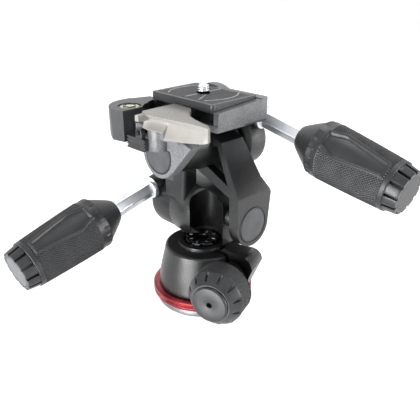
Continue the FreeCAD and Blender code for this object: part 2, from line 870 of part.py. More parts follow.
def level_bracket():
    """Strip along the platform's left side that ends in the bowl for the spirit level."""
    strip_bottom = bracket_top - bracket_strip
    strip = prism([
        V(deck_left, bracket_front, strip_bottom), V(bracket_tip_x, bracket_front, strip_bottom),
        V(bracket_left, bracket_bend_y, strip_bottom), V(bracket_waist_x, bracket_bend_y, strip_bottom),
        V(deck_left, plate_back, strip_bottom),
    ], V(0, 0, bracket_strip))
    bottom = bracket_top - bracket_bowl
    bowl = prism([
        V(bracket_waist_x, bracket_bowl_front, bottom), V(bracket_left, bracket_bowl_front, bottom),
        V(bracket_left, bracket_bend_y, bottom),
        (V(bracket_shoulder_x, bracket_shoulder_y, bottom), V(bracket_toe_x, bracket_toe_y, bottom)),
        V(bracket_right, bracket_right_y, bottom), V(bracket_right, bracket_heel_y, bottom),
        V(bracket_waist_x, bracket_waist_y, bottom),
    ], V(0, 0, bracket_bowl))
    slope = prism([
        V(-far, bracket_toe_y, bottom), V(bracket_toe_x, bracket_toe_y, bottom),
        V(bracket_left, bracket_toe_y, bottom + bracket_slope),
        V(-far, bracket_toe_y, bottom + bracket_slope),
    ], V(0, far, 0))
    bracket = strip.fuse(bowl).cut(slope)
    return bracket.cut(rod(vial_radius + slip, bracket_top - vial_height, bracket_top, "Z", vial_x, vial_y))


def platform_tray():
    """Deck with the wall on its right, the lip and hook in front and the rail on its left."""
    edge = plate_front + slip
    deck = box(deck_left, wall_right, plate_back, wall_front, deck_bottom, deck_top)
    relief_top = deck_bottom + deck_relief
    deck = deck.cut(box(deck_left, deck_relief_x, plate_back, wall_front, deck_bottom, relief_top))
    wall = prism([
        V(plate_right + slip, wall_back, deck_bottom + wall_drop),
        V(plate_right + slip, wall_back, wall_top),
        V(plate_right + slip, wall_front, lip_top),
        V(plate_right + slip, wall_front, deck_bottom + wall_drop),
    ], V(wall_right - plate_right - slip, 0, 0))
    lip = box(lip_left, wall_right, edge, wall_front, deck_bottom + deck_relief, lip_top)
    tray = deck.fuse([wall, lip])
    tray = round_edges(tray, wall_corner, lambda p, e: (abs(p.x - wall_right) < slip
                                                        and abs(p.y - wall_front) < slip))
    middle = (lip_bump_left + lip_bump_right) / 2
    bump = prism([
        V(lip_bump_left, edge, deck_top), V(lip_bump_left, edge, lip_top),
        (V(middle, edge, lip_top + lip_bump), V(lip_bump_right, edge, lip_top)),
        V(lip_bump_right, edge, deck_top),
    ], V(0, wall_front - edge, 0))
    hook_front = plate_front - dovetail_inset + slip
    hook = prism([
        V(-dovetail_half, edge, deck_top), V(-dovetail_half, edge, slab_under - gap),
        V(-dovetail_half, hook_front, slab_under - gap),
        V(-dovetail_half, hook_front + dovetail_flare, deck_top),
    ], V(dovetail_half * 2, 0, 0))
    rail = box(deck_left, deck_left + rail_width, plate_back, edge, deck_top, slab_under - gap)
    return tray.fuse([bump, hook, rail])


def platform():
    shelf = box(cheek_left, cheek_tip_x, cheek_back - shelf_out, plate_back, shelf_bottom, shelf_top)
    bridge = box(bracket_waist_x, cheek_left, bridge_back, plate_back, shelf_top - bridge_thick, shelf_top)
    boss = lever_rod(lever_boss_radius, boss_bottom, shelf_top)
    body = platform_tray().fuse([shelf, bridge, boss, cheek(), level_bracket(), far_hub()])
    scoop = rod(scoop_radius, shelf_bottom, far, "Z", scoop_x, scoop_y)
    floor = shelf_bottom + scoop_floor
    body = body.cut(scoop.common(box(0, far, -far, plate_back - scoop_wall, floor, far)))
    body = body.cut(side_rod(barrel_radius + run_gap, cheek_front, hub2_back))
    body = body.cut(side_rod(side_shaft_radius + run_fit, cheek_back, cheek_front))
    rear_seat = side_rod(rear_cap_radius + slip, cheek_back, cheek_back + cap_thick)
    rear_seat = rear_seat.common(box(-far, far, -far, far, 0, boss_bottom))
    front_seat = side_rod(side_cap_radius + slip, hub2_front - cap_thick - cap_sunk, hub2_front)
    bore = side_rod(side_shaft_radius + run_fit, hub2_back, hub2_front).fuse([front_seat, rear_seat])
    slit = clamp_slit("side", side_axis).common(box(-far, far, wall_front + slit_width, far, side_z, far))
    body = split_clamp(body, "side", bore, slit, side_lug_length)
    pin_hole = lever_rod(lever_pin_radius + slip, shelf_top - lever_pin_foot, shelf_top)
    spring_seat = lever_rod(spring_radius + slip, shelf_top - spring_seat_depth, shelf_top)
    catch_hole = rod(catch_pin_radius, catch_front, cheek_front, "Y", catch_x, 0, catch_z)
    return body.cut([pin_hole, spring_seat, catch_hole]).removeSplitter()


def rear_cap():
    cap = side_rod(rear_cap_radius, cheek_back - cap_proud, cheek_back + cap_thick)
    return cap.common(box(-far, far, -far, far, 0, boss_bottom - slip))


def front_cap():
    return side_rod(side_cap_radius, hub2_front - cap_thick - cap_sunk, hub2_front - cap_sunk)


def quick_plate():
    slab = box(plate_left, plate_right, plate_back, plate_front, slab_under, plate_top)
    slab = slab.makeFillet(plate_corner, [e for e in slab.Edges
                                          if abs(e.BoundBox.ZLength - plate_slab) < slip])
    foot = deck_top + slip
    back = plate_back + dovetail_inset
    front = plate_front - dovetail_inset
    tail = prism([
        V(deck_left + rail_width + slip, back, slab_under),
        V(deck_left + rail_width + slip, front, slab_under),
        V(deck_left + rail_width + slip, front + dovetail_flare, foot),
        V(deck_left + rail_width + slip, back - dovetail_flare, foot),
    ], V(dovetail_half - deck_left - rail_width - slip, 0, 0))
    pocket = box(plate_left + pad_border, plate_right - pad_border, plate_back + pad_border,
                 plate_front - pad_border, plate_top - pad_depth, plate_top)
    plate = slab.fuse(tail).cut(pocket).cut(screw_rod(camera_thread_radius + run_fit, foot, plate_top))
    head_room = screw_rod(screw_head_radius + run_gap, foot, screw_foot + screw_head + gap)
    return plate.cut(head_room).removeSplitter()


def grip_pad():
    edge = pad_border + slip
    pad = box(plate_left + edge, plate_right - edge, plate_back + edge, plate_front - edge,
              plate_top - pad_depth, plate_top + pad_rise)
    return pad.cut(screw_rod(camera_thread_radius + run_gap, deck_top, plate_top + plate_slab))


def screw_rod(radius, start, end):
    return rod(radius, start, end, "Z", screw_x, screw_y)


def camera_screw():
    """Captive screw: wide head below, thin neck through the plate, thread above the pad."""
    thread = plate_top + pad_rise + camera_thread_lead
    top = thread + camera_thread_length
    shank = screw_rod(camera_neck_radius, screw_foot, thread)
    shank = shank.fuse(screw_rod(camera_thread_radius, thread, top))
    return shank.fuse(screw_rod(screw_head_radius, screw_foot, screw_foot + screw_head)).removeSplitter()


# ---- level vial -------------------------------------------------------------
def level_ring():
    start = bracket_top - vial_height
    ring = rod(vial_radius, start, bracket_top - vial_sunk, "Z", vial_x, vial_y)
    return ring.cut(rod(vial_radius - vial_ring, start, bracket_top, "Z", vial_x, vial_y))


def level_vial():
    return rod(vial_radius - vial_ring, bracket_top - vial_height, bracket_top - vial_sunk,
               "Z", vial_x, vial_y)


# ---- quick release lever ----------------------------------------------------
def lever_outline(bottom, top):
    """Swept outline of the lever seen from above, pushed from one level to another."""
    edge = plate_back - gap
    return prism([
        V(lever_left, edge, bottom), V(lever_left, lever_back_y, bottom),
        V(lever_heel_x, lever_belly_y, bottom),
        V(lever_belly_x, lever_belly_y, bottom), V(lever_tip_x, lever_edge_y, bottom),
        (V(lever_tip_x + lever_tip_round, (lever_edge_y + lever_tip_y) / 2, bottom),
         V(lever_tip_x, lever_tip_y, bottom)),
        V(lever_neck_x, lever_neck_y, bottom), V(lever_bay_x, lever_bay_y, bottom),
        (V(lever_throat_x, lever_throat_y, bottom), V(lever_mouth_x, lever_mouth_y, bottom)),
        V(lever_nose_x, edge, bottom),
    ], V(0, 0, top - bottom))


def lever_scoop():
    """Long round groove along the outer side of the blade, where the thumb lies."""
    along = V(lever_tip_x - lever_belly_x, lever_edge_y - lever_belly_y, 0).normalize()
    outward = V(along.y, -along.x, 0)
    start = V(lever_belly_x, lever_belly_y, lever_top - lever_scoop_drop)
    start = start + outward * (lever_scoop_radius - lever_scoop_depth) - along * lever_scoop_lead
    return Part.makeCylinder(lever_scoop_radius, far, start, along)


def quick_lever():
    """Cam nose against the plate and a swept thumb blade, turning about a vertical pin."""
    blade = lever_outline(lever_bottom, lever_top)
    nose = lever_rod(lever_nose_radius, lever_bottom, lever_top)
    lever = blade.common(nose.fuse(box(lever_x, far, -far, 0, lever_bottom, lever_top)))
    skirt_front = cheek_back - shelf_out - run_gap
    skirt = prism([
        V(skirt_start, -far, lever_bottom), V(skirt_start, -far, lever_bottom - skirt_drop),
        V(lever_tip_x, -far, lever_bottom),
    ], V(0, far + skirt_front, 0))
    lever = lever.fuse(skirt.common(lever_outline(lever_bottom - skirt_drop, lever_bottom)))
    lever = lever.cut(lever_scoop())
    lever = lever.fuse(box(tab_left, tab_right, tab_back, lever_back_y, lever_top - tab_height, lever_top))
    hole = lever_rod(lever_pin_radius + run_fit, lever_bottom, lever_top - lever_skin)
    return lever.cut(hole).removeSplitter()


def lever_pin():
    return lever_rod(lever_pin_radius, shelf_top - lever_pin_foot, lever_top - lever_skin - gap)


def lever_spring():
    """Torsion spring round the pin, its turns drawn as closed rings."""
    pitch = (spring_seat_depth - spring_wire) / (spring_turns - 1)
    first = shelf_top - spring_seat_depth
    rings = [lever_rod(spring_radius, first + i * pitch, first + i * pitch + spring_wire).cut(
        lever_rod(spring_radius - spring_wire, first, shelf_top)) for i in range(spring_turns)]
    return Part.makeCompound(rings)


# ---- safety catch -----------------------------------------------------------
def safety_catch():
    """Ribbed thumb piece hanging from a pin; it keeps the lever shut."""
    face = catch_back + catch_rib
    bottom = catch_z - catch_height
    top = catch_z - catch_neck
    thumb = box(catch_left, catch_right, face, catch_front, bottom, top)
    neck = box(catch_x - catch_boss_radius, catch_x + catch_boss_radius, face, catch_front, top, catch_z)
    catch = thumb.fuse([neck, rod(catch_boss_radius, face, catch_front, "Y", catch_x, 0, catch_z)])
    step = (top - bottom) / (2 * catch_ribs - 1)
    ribs = [box(catch_left, catch_right, catch_back, face + catch_rib, bottom + 2 * step * i,
                bottom + 2 * step * i + step) for i in range(catch_ribs)]
    hole = rod(catch_pin_radius + run_fit, catch_back, catch_front, "Y", catch_x, 0, catch_z)
    return catch.fuse(ribs).cut(hole).removeSplitter()


def catch_pin():
    return rod(catch_pin_radius, catch_back, cheek_front, "Y", catch_x, 0, catch_z)


# ---- handles ----------------------------------------------------------------
def handle_rod(which):
    bar = rod(screw_radius, -screw_length, collar_thick)
    bar = bar.fuse(hexagon(rod_flats, collar_thick, rod_free + rod_in_grip))
    return on_handle(which, bar.removeSplitter())


def handle_collar(which):
    collar = rod(collar_radius, 0, collar_thick)
    collar = collar.makeChamfer(collar_edge, [e for e in collar.Edges if circle_edge(e, collar_radius)])
    return on_handle(which, collar.cut(rod(screw_radius, 0, collar_thick)))


def handle_grip(which):
    shoulder = rod_free + grip_cone
    grip = lathe([
        (0, rod_free), (grip_start_radius, rod_free), (grip_shoulder_radius, shoulder),
        (grip_shoulder_radius, shoulder + grip_shoulder), (grip_radius, rod_free + grip_radius_at),
        (grip_end_radius, rod_free + grip_end), (0, rod_free + grip_end)])
    return on_handle(which, grip.cut(hexagon(rod_flats + slip, rod_free, rod_free + rod_in_grip + slip)))


def grip_end_ring(which):
    start = rod_free + grip_end
    end = start + end_ring
    ring = lathe([(0, start), (end_ring_radius, start), (end_ring_radius - end_ring_taper, end), (0, end)])
    slot = box(end_ring_radius - end_slot_depth - end_ring_taper, end_ring_radius, -end_slot_width / 2,
               end_slot_width / 2, start, end)
    ring = ring.cut(spin(slot, end_slots))
    return on_handle(which, ring.cut(rod(end_disc_radius + slip, end - end_disc_thick, end)))


def grip_end_disc(which):
    end = rod_free + grip_end + end_ring
    return on_handle(which, rod(end_disc_radius, end - end_disc_thick, end))


# ---- write the parts --------------------------------------------------------
parts = {
    "base_disc": base_disc(),
    "thread_insert": thread_insert(),
    "pan_ring": pan_ring(),
    "pan_spindle": pan_spindle(),
    "pan_thrust_washer": washer(
        thrust_washer_radius, spindle_radius + slip, washer_seat, thrust_washer_thick),
    "pan_wave_washer": washer(wave_washer_radius, spindle_neck_radius + slip, wave_seat, wave_washer_thick),
    "pan_lock_nut": pan_lock_nut(),
    "pan_cup": pan_cup(),
    "clamp_nut": clamp_nut(),
    "pan_post": pan_post(),
    "tilt_drum": tilt_drum(),
    "tilt_pin": tilt_pin(),
    "pan_knob": pan_knob(),
    "pan_knob_band": pan_knob_band(),
    "pan_knob_cap": pan_knob_cap(),
    "clamp_bolt": clamp_bolt(),
    "tilt_yoke": tilt_yoke(),
    "tilt_bush": tilt_bush(),
    "arm_cap": arm_cap(),
    "hub_cap": hub_cap(),
    "side_shaft": side_shaft(),
    "platform": platform(),
    "rear_cap": rear_cap(),
    "front_cap": front_cap(),
    "quick_plate": quick_plate(),
    "grip_pad": grip_pad(),
    "camera_screw": camera_screw(),
    "level_ring": level_ring(),
    "level_vial": level_vial(),
    "quick_lever": quick_lever(),
    "lever_pin": lever_pin(),
    "lever_spring": lever_spring(),
    "safety_catch": safety_catch(),
    "catch_pin": catch_pin(),
}
for which in ("tilt", "side"):
    parts[which + "_handle_rod"] = handle_rod(which)
    parts[which + "_handle_collar"] = handle_collar(which)
    parts[which + "_grip"] = handle_grip(which)
    parts[which + "_grip_end_ring"] = grip_end_ring(which)
    parts[which + "_grip_end_disc"] = grip_end_disc(which)

for name, shape in parts.items():
    shape.exportStep("parts/" + name + ".step")
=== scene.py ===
import math

import bpy
from mathutils import Matrix, Vector


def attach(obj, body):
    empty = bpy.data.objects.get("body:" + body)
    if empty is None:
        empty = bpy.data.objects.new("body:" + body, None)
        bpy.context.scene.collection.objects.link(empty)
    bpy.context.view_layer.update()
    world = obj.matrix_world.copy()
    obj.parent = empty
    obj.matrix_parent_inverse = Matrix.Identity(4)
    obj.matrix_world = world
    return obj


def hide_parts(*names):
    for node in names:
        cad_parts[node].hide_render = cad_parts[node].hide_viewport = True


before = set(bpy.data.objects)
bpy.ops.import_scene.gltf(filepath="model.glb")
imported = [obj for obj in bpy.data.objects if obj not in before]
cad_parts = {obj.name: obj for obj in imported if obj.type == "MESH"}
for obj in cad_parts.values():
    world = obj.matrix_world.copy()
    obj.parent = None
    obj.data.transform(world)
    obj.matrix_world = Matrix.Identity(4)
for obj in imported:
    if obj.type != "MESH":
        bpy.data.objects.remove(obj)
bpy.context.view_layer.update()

MM = 0.001


# ---- sizes of the dressed pieces, in millimetres ----------------------------
edge_break = 0.4             # small radius on every moulded or cast edge
edge_break_of = {"tilt_yoke": 1.2, "pan_post": 0.6, "platform": 0.6}
edge_segments = 2
edge_angle = 38              # degrees between faces from which an edge is broken
node_gap = 0.001             # vertices nearer than this are one
crease = 32                  # degrees between faces that meet in a crisp edge
axis_gap = 0.01              # a skin closes this near its axis

# platform: painted shade darkens its level bracket and its handle lug, where shade falls
bracket_shade_edge = -12.8         # the bracket lies left of this
bracket_shade_share = 0.95         # how much of the dark shade the bracket shows
lug_shade_top = 117.5              # the lug lies below this
lug_shade_front = 4.0              # and in front of this
lug_shade_fade = 1.0               # the shade comes in over this much height
shade_fade = 2.0             # and over this much width

# handles: each is drawn from its collar outwards
tilt_handle_foot = (-34.5, -10.4, 67.5)
tilt_handle_slope = 13.6     # degrees below level
side_handle_foot = (16.4, 32.4, 114.4)
side_handle_slope = 12.3
grip_start = 31.0
grip_start_radius = 6.8
grip_cone = 13.5
grip_shoulder_radius = 15.4
grip_shoulder = 3.0
grip_radius = 15.88
grip_radius_at = 20.0
grip_end_radius = 13.7
grip_end = 60.0
grip_bore = 4.6
cone_step = 0.5              # the rubber sleeve stands this much over the cone
cone_curve = 0.92            # under 1 the cone bulges a little
barrel_curve = 1.25          # over 1 the barrel keeps its width longer
tick_count = 18
tick_half = 0.35
tick_height = 0.3
tick_inset = 0.8             # from the cone to the start of a tick
tick_reach = 0.6             # from the end of the shoulder to the end of a tick
# the knurl is drawn coarser and deeper than the real one, so that it shows
knurl_start = 20.5
knurl_end = 57.6
knurl_starts = 60            # helical grooves each way round the grip
knurl_lead = 1.6             # length along the grip from one groove to the next
knurl_depth = 0.70
knurl_flat = 1.35            # over 1 leaves each diamond a small flat top
window_start = 20.0
window_widest = 30.0
window_end = 55.0
window_start_half = 4.4
window_widest_half = 7.0
window_end_half = 3.4
window_depth = 1.5
window_edge = 0.8            # its wall slopes over this width
window_rim = 1.5             # smooth frame round a window
window_rim_height = 0.35
tilt_window_turn = -28       # degrees from the grip's upper side to its first window
side_window_turn = 43
grip_rows = 230
grip_columns = 360

# pan knob
knob_foot = (33.709, -13.963, 25.9)
knob_way = (0.34202, -0.93969, 0.0)
band_start = 2.0
band_end = 14.4
band_radius = 16.75
band_bore = 15.5
band_knurl_starts = 72
band_knurl_lead = 1.5
band_knurl_depth = 0.65
band_rows = 60
band_columns = 504
knob_back_radius = 14.5
knob_length = 20.8
knob_shoulder_radius = 16.4
knob_front_radius = 11.6
knob_curve = 1.15            # over 1 the cone bulges a little
knob_bore = 3.0
knob_recess = 1.5            # seat of the cap in the knob's front
knob_slots = 12
knob_slot_half = 0.55
knob_slot_depth = 1.3
knob_slot_edge = 0.35        # a slot's wall slopes over this width
knob_slot_start = 6          # the larger, the sooner a slot has its full depth
knob_slot_end = 0.5          # share of the cone where a slot starts to run out
knob_slot_fade = 0.25        # and the share that it takes
knob_land_lift = 0.5         # each land rises this much from one slot to the next
knob_cone_steps = 14
knob_columns = 432
cap_radius = 10.7
cap_clearance = 0.1
cap_foot = 1.4               # the cap reaches this far into the knob
cap_back_radius = 2.6
cap_wall = 0.5               # its straight wall outside the knob
cap_edge = 1.3               # radius of its rounded edge
cap_crown_rise = 0.2
cap_crown_width = 2.2
cap_dish = [(1.95, 5.0), (1.75, 2.6)]    # height over the knob's front, and radius
cap_columns = 72
socket_radius = 1.5
socket_edge = 0.3
socket_top = 1.3
socket_mouth = 1.6
socket_depth = 1.2

# camera screw
screw_place = (0.2, 1.3)
screw_top = 135.0
screw_thread_foot = 131.0
screw_foot = 119.7
screw_head_top = 121.9
screw_head_radius = 9.0
screw_radius = 3.175
screw_neck_radius = 2.4
screw_edge = 0.4
screw_columns = 72
thread_pitch = 1.27
thread_depth = 0.6
thread_root = 1.15           # over 1 leaves a narrow flat in the root
thread_run_out = 0.8
thread_run_in = 0.5
thread_foot_share = 0.3      # depth of the thread where it starts
thread_steps = 44

# handle bars
rod_flats = 9.6
rod_corner_radius = 5.4
rod_end = 65.0
rod_shoulder = 0.2           # the hexagon starts this far before its foot
rod_screw_radius = 4.0
rod_screw_edge = 0.5
rod_columns = 96
screw_end = 24.0

# quick release lever: outer x and y, inner x and y, bottom, depth of the scoop, top
lever_top = 126.3
lever_rows = [
    (-3.6, -39.0, -4.2, -16.4, 118.4, 0.3, 126.3),
    (-0.8, -41.6, -1.0, -16.3, 118.2, 1.6, 126.3),
    (3.4, -42.3, 4.0, -16.3, 118.2, 2.8, 126.3),
    (8.0, -41.7, 9.4, -17.0, 118.2, 3.2, 126.3),
    (12.4, -41.0, 13.0, -20.0, 118.2, 3.2, 126.3),
    (14.4, -40.8, 14.6, -22.4, 118.1, 3.1, 126.3),
    (14.7, -40.7, 14.9, -22.8, 114.7, 3.1, 126.3),
    (17.4, -40.3, 17.0, -25.0, 114.8, 2.9, 126.3),
    (20.0, -39.8, 19.6, -27.2, 115.0, 2.6, 126.3),
    (23.0, -39.4, 22.4, -28.8, 115.2, 2.2, 126.3),
    (29.0, -38.7, 28.4, -31.2, 115.9, 1.4, 126.3),
    (35.0, -38.0, 34.6, -32.9, 116.7, 0.7, 126.3),
    (40.0, -37.4, 39.6, -33.8, 117.4, 0.5, 126.2),
    (42.6, -36.6, 42.2, -34.8, 118.4, 0.1, 125.6),
]
lever_stations = 78
lever_edge = 0.4             # broken edges of the blade
lever_back_edge = 0.3
lever_lip_edge = 0.2
lever_foot = 0.5             # height of the foot under the scoop
scoop_overhang = 2.6         # from the lip down to the scoop's deepest line
scoop_turn = 0.38            # share of the outline above that line
scoop_shares = (0.1, 0.2, 0.3, 0.38, 0.46, 0.56, 0.68, 0.8, 0.9)
fin_height = 3.4
fin_sink = 0.25              # its top lies this far under the blade's
fin_draft = 0.15             # and its corners are drawn in by this much
fin_corners = [(-1.0, -40.5), (-0.4, -46.6), (2.2, -46.3), (3.0, -40.5)]
fin_inwards = [(1, 0), (1, 1), (-1, 1), (-1, 0)]    # which way each corner is drawn in

# key slots of the lock nut
nut_slots = 8
nut_slot_inner = 6.6
nut_slot_outer = 8.6
nut_slot_half = 0.75
nut_slot_top = 41.0
nut_slot_thick = 0.25

# painted shade: a dark bead in the gap round each of two bearing caps: centre, radius and wire
arm_cap_centre = (33.3, 9.0, 57.0)
arm_gap_shade_radius = 10.7
rear_cap_centre = (0, -32.6, 101.2)
rear_gap_shade_radius = 9.9
rear_gap_shade_start, rear_gap_shade_end = -206, 26    # degrees: it runs out under the platform
gap_shade_wire = 0.6

# round level
level_centre = (-22.0, -33.6, 125.0)
level_circle_radius = 3.3
level_circle_wire = 0.22
bubble_centre = (-21.6, -33.2)
bubble_radius = 2.3
bubble_height = 0.14
bubble_steps = 12
bubble_columns = 40

# ribbed pad round the camera screw; its ribs are wider and deeper than real, so that they show
pad_left, pad_right = -21.5, 21.9
pad_back, pad_front = -13.2, 15.8
pad_foot = 129.1
pad_top = 130.35
pad_edge_width = 0.3
pad_edge_drop = 0.3
pad_frame = 1.0              # smooth border
pad_frame_drop = 0.1
pad_rib_pitch = 2.25
pad_rib_depth = 0.6
pad_ring_radius = 19.6
pad_arc_reach = 13.4         # the ring shows this far in front of and behind the screw
pad_arc_steps = 32
pad_line_half = 0.55         # smooth ground left beside a line
pad_line_start = 4.6         # from the screw to the start of the straight line
pad_line_end = 0.7           # from a line's end to the pad's edge
slant_start = (5.4, -3.6)    # slanting line, from the screw
slant_end = 10.8
slant_foot = (4.2, -1.4)     # a point on the middle of its smooth ground
slant_turn = 28              # degrees from the straight line
strip_half = 0.4
strip_top_share = 0.8        # a strip's top is this share of its foot
strip_over = 0.02
strip_thick = 0.3
pad_hole = 3.9
pad_column = 0.25
pad_row = 0.35

# stage: how bright the white round the object is to the eye, and as a light
floor_glow = 0.74
sky_as_light = 0.26
sky_to_eye = 1.0


# ---- helpers -----------------------------------------------------------------
def linear(hex_colour):
    """sRGB hex string to a linear colour with full alpha."""
    channels = [int(hex_colour[i:i + 2], 16) / 255 for i in (1, 3, 5)]
    return [c / 12.92 if c <= 0.04045 else ((c + 0.055) / 1.055) ** 2.4 for c in channels] + [1.0]


def add(tree, kind, settings=None, links=None):
    """Adds one node with its settings, its socket values and what feeds it."""
    made = tree.nodes.new(kind)
    for key, value in (settings or {}).items():
        if key == "stops":
            for point, (position, colour) in zip(made.color_ramp.elements, value):
                point.position, point.color = position, linear(colour)
        elif isinstance(key, int) or key in made.inputs:
            made.inputs[key].default_value = value
        else:
            setattr(made, key, value)
    for key, source in (links or {}).items():
        tree.links.new(source, made.inputs[key])
    return made


def new_material(name):
    """An empty node material and the place of each point on the object."""
    made = bpy.data.materials.new(name)
    made.use_nodes = True
    made.node_tree.nodes.clear()
    return made, made.node_tree, add(made.node_tree, "ShaderNodeTexCoord").outputs["Object"]


# ---- finishes ------------------------------------------------------------------
wave_repeat = 0.31           # m: a wave texture of scale 1 repeats after this


def satin_shell(name, dark, light, roughness, grain_mm, grain_depth, deep=None):
    """Satin skin of a filled moulding or a coated casting: a broad highlight broken by grain.

    The last argument gives the platform's bracket and lug a darker pair of colours: painted shade
    where they lie in shade.
    """
    made, tree, place = new_material(name)
    cloud = add(tree, "ShaderNodeTexNoise", {"Scale": 1 / (9 * MM), "Detail": 2.0},
                {"Vector": place})
    grain = add(tree, "ShaderNodeTexNoise",
                {"Scale": 1 / (grain_mm * MM), "Detail": 2.0, "Roughness": 0.7},
                {"Vector": place})
    mottle = add(tree, "ShaderNodeMath", {"operation": "MULTIPLY_ADD", 1: 0.35},
                 {0: cloud.outputs["Fac"], 2: grain.outputs["Fac"]})
    tint = add(tree, "ShaderNodeValToRGB", {"stops": [(0.5, dark), (0.85, light)]},
               {"Fac": mottle.outputs["Value"]})
    colour = tint.outputs["Color"]
    # Painted shade: the level bracket and the lug recessed under the plate get darker colours.
    if deep:
        axes = add(tree, "ShaderNodeSeparateXYZ", links={"Vector": place})
        low = add(tree, "ShaderNodeMapRange",
                  {"From Min": lug_shade_top * MM, "From Max": (lug_shade_top - lug_shade_fade) * MM},
                  {"Value": axes.outputs["Z"]})
        lug = add(tree, "ShaderNodeMapRange",
                  {"From Min": lug_shade_front * MM, "From Max": (lug_shade_front + shade_fade) * MM},
                  {"Value": axes.outputs["Y"], "To Max": low.outputs["Result"]})
        bracket = add(tree, "ShaderNodeMapRange",
                      {"From Min": bracket_shade_edge * MM, "From Max": (bracket_shade_edge - shade_fade) * MM,
                       "To Max": bracket_shade_share}, {"Value": axes.outputs["X"]})
        share = add(tree, "ShaderNodeMath", {"operation": "MAXIMUM"},
                    {0: lug.outputs["Result"], 1: bracket.outputs["Result"]})
        shade = add(tree, "ShaderNodeValToRGB", {"stops": [(0.3, deep[0]), (0.7, deep[1])]},
                    {"Fac": cloud.outputs["Fac"]})
        blend = add(tree, "ShaderNodeMix", {"data_type": "RGBA"},
                    {"Factor": share.outputs["Value"], 6: colour, 7: shade.outputs["Color"]})
        colour = blend.outputs[2]
    gloss = add(tree, "ShaderNodeMapRange",
                {"From Min": 0.3, "From Max": 0.7,
                 "To Min": roughness + 0.08, "To Max": roughness - 0.06},
                {"Value": grain.outputs["Fac"]})
    peel = add(tree, "ShaderNodeBump", {"Distance": grain_depth * MM, "Strength": 0.5},
               {"Height": grain.outputs["Fac"]})
    shader = add(tree, "ShaderNodeBsdfPrincipled", {"IOR": 1.52},
                 {"Base Color": colour, "Roughness": gloss.outputs["Result"],
                  "Normal": peel.outputs["Normal"]})
    add(tree, "ShaderNodeOutputMaterial", links={"Surface": shader.outputs["BSDF"]})
    return made


def turned_metal(name, dark, light, roughness, groove_mm=0.5, sealed=0.0):
    """Metal faced and turned on a lathe: fine rings round the axis draw the highlight out."""
    made, tree, place = new_material(name)
    rings = add(tree, "ShaderNodeTexWave",
                {"wave_type": "RINGS", "rings_direction": "Z",
                 "Scale": wave_repeat / (groove_mm * MM), "Distortion": 0.3, "Detail": 2.0},
                {"Vector": place})
    cloud = add(tree, "ShaderNodeTexNoise", {"Scale": 1 / (6 * MM), "Detail": 3.0},
                {"Vector": place})
    tint = add(tree, "ShaderNodeValToRGB", {"stops": [(0.3, dark), (0.7, light)]},
               {"Fac": cloud.outputs["Fac"]})
    gloss = add(tree, "ShaderNodeMapRange",
                {"To Min": roughness - 0.03, "To Max": roughness + 0.05},
                {"Value": rings.outputs["Fac"]})
    groove = add(tree, "ShaderNodeBump", {"Distance": 0.008 * MM, "Strength": 0.3},
                 {"Height": rings.outputs["Fac"]})
    shader = add(tree, "ShaderNodeBsdfPrincipled",
                 {"Metallic": 1.0, "Coat Weight": sealed, "Coat Roughness": 0.2},
                 {"Base Color": tint.outputs["Color"], "Roughness": gloss.outputs["Result"],
                  "Normal": groove.outputs["Normal"]})
    add(tree, "ShaderNodeOutputMaterial", links={"Surface": shader.outputs["BSDF"]})
    return made


def plated_steel(name, dark, light, roughness):
    """Plated steel: bright metal with a faint cloud in the plate."""
    made, tree, place = new_material(name)
    cloud = add(tree, "ShaderNodeTexNoise", {"Scale": 1 / (5 * MM), "Detail": 2.0},
                {"Vector": place})
    tint = add(tree, "ShaderNodeValToRGB", {"stops": [(0.3, dark), (0.7, light)]},
               {"Fac": cloud.outputs["Fac"]})
    gloss = add(tree, "ShaderNodeMapRange",
                {"To Min": roughness - 0.01, "To Max": roughness + 0.03},
                {"Value": cloud.outputs["Fac"]})
    shader = add(tree, "ShaderNodeBsdfPrincipled", {"Metallic": 1.0},
                 {"Base Color": tint.outputs["Color"], "Roughness": gloss.outputs["Result"]})
    add(tree, "ShaderNodeOutputMaterial", links={"Surface": shader.outputs["BSDF"]})
    return made


def moulding(name, dark, light, roughness, grain_mm, grain_depth, sheen=0.0):
    """Moulding from a spark-eroded tool: even grain that breaks up a broad highlight."""
    made, tree, place = new_material(name)
    cloud = add(tree, "ShaderNodeTexNoise", {"Scale": 1 / (7 * MM), "Detail": 3.0},
                {"Vector": place})
    grain = add(tree, "ShaderNodeTexNoise",
                {"Scale": 1 / (grain_mm * MM), "Detail": 3.0, "Roughness": 0.7},
                {"Vector": place})
    tint = add(tree, "ShaderNodeValToRGB", {"stops": [(0.3, dark), (0.7, light)]},
               {"Fac": cloud.outputs["Fac"]})
    gloss = add(tree, "ShaderNodeMapRange",
                {"To Min": roughness - 0.06, "To Max": roughness + 0.08},
                {"Value": grain.outputs["Fac"]})
    bite = add(tree, "ShaderNodeBump", {"Distance": grain_depth * MM, "Strength": 0.6},
               {"Height": grain.outputs["Fac"]})
    shader = add(tree, "ShaderNodeBsdfPrincipled", {"IOR": 1.5, "Sheen Weight": sheen},
                 {"Base Color": tint.outputs["Color"], "Roughness": gloss.outputs["Result"],
                  "Normal": bite.outputs["Normal"]})
    add(tree, "ShaderNodeOutputMaterial", links={"Surface": shader.outputs["BSDF"]})
    return made


def tinted_spirit(name):
    """Clear acrylic capsule over tinted spirit: glossy, pale yellow green."""
    made, tree, place = new_material(name)
    cloud = add(tree, "ShaderNodeTexNoise", {"Scale": 1 / (3 * MM)}, {"Vector": place})
    tint = add(tree, "ShaderNodeValToRGB", {"stops": [(0.3, "#d6dfa0"), (0.7, "#e6ecbc")]},
               {"Fac": cloud.outputs["Fac"]})
    shader = add(tree, "ShaderNodeBsdfPrincipled",
                 {"IOR": 1.49, "Roughness": 0.06, "Transmission Weight": 0.25},
                 {"Base Color": tint.outputs["Color"]})
    add(tree, "ShaderNodeOutputMaterial", links={"Surface": shader.outputs["BSDF"]})
    return made


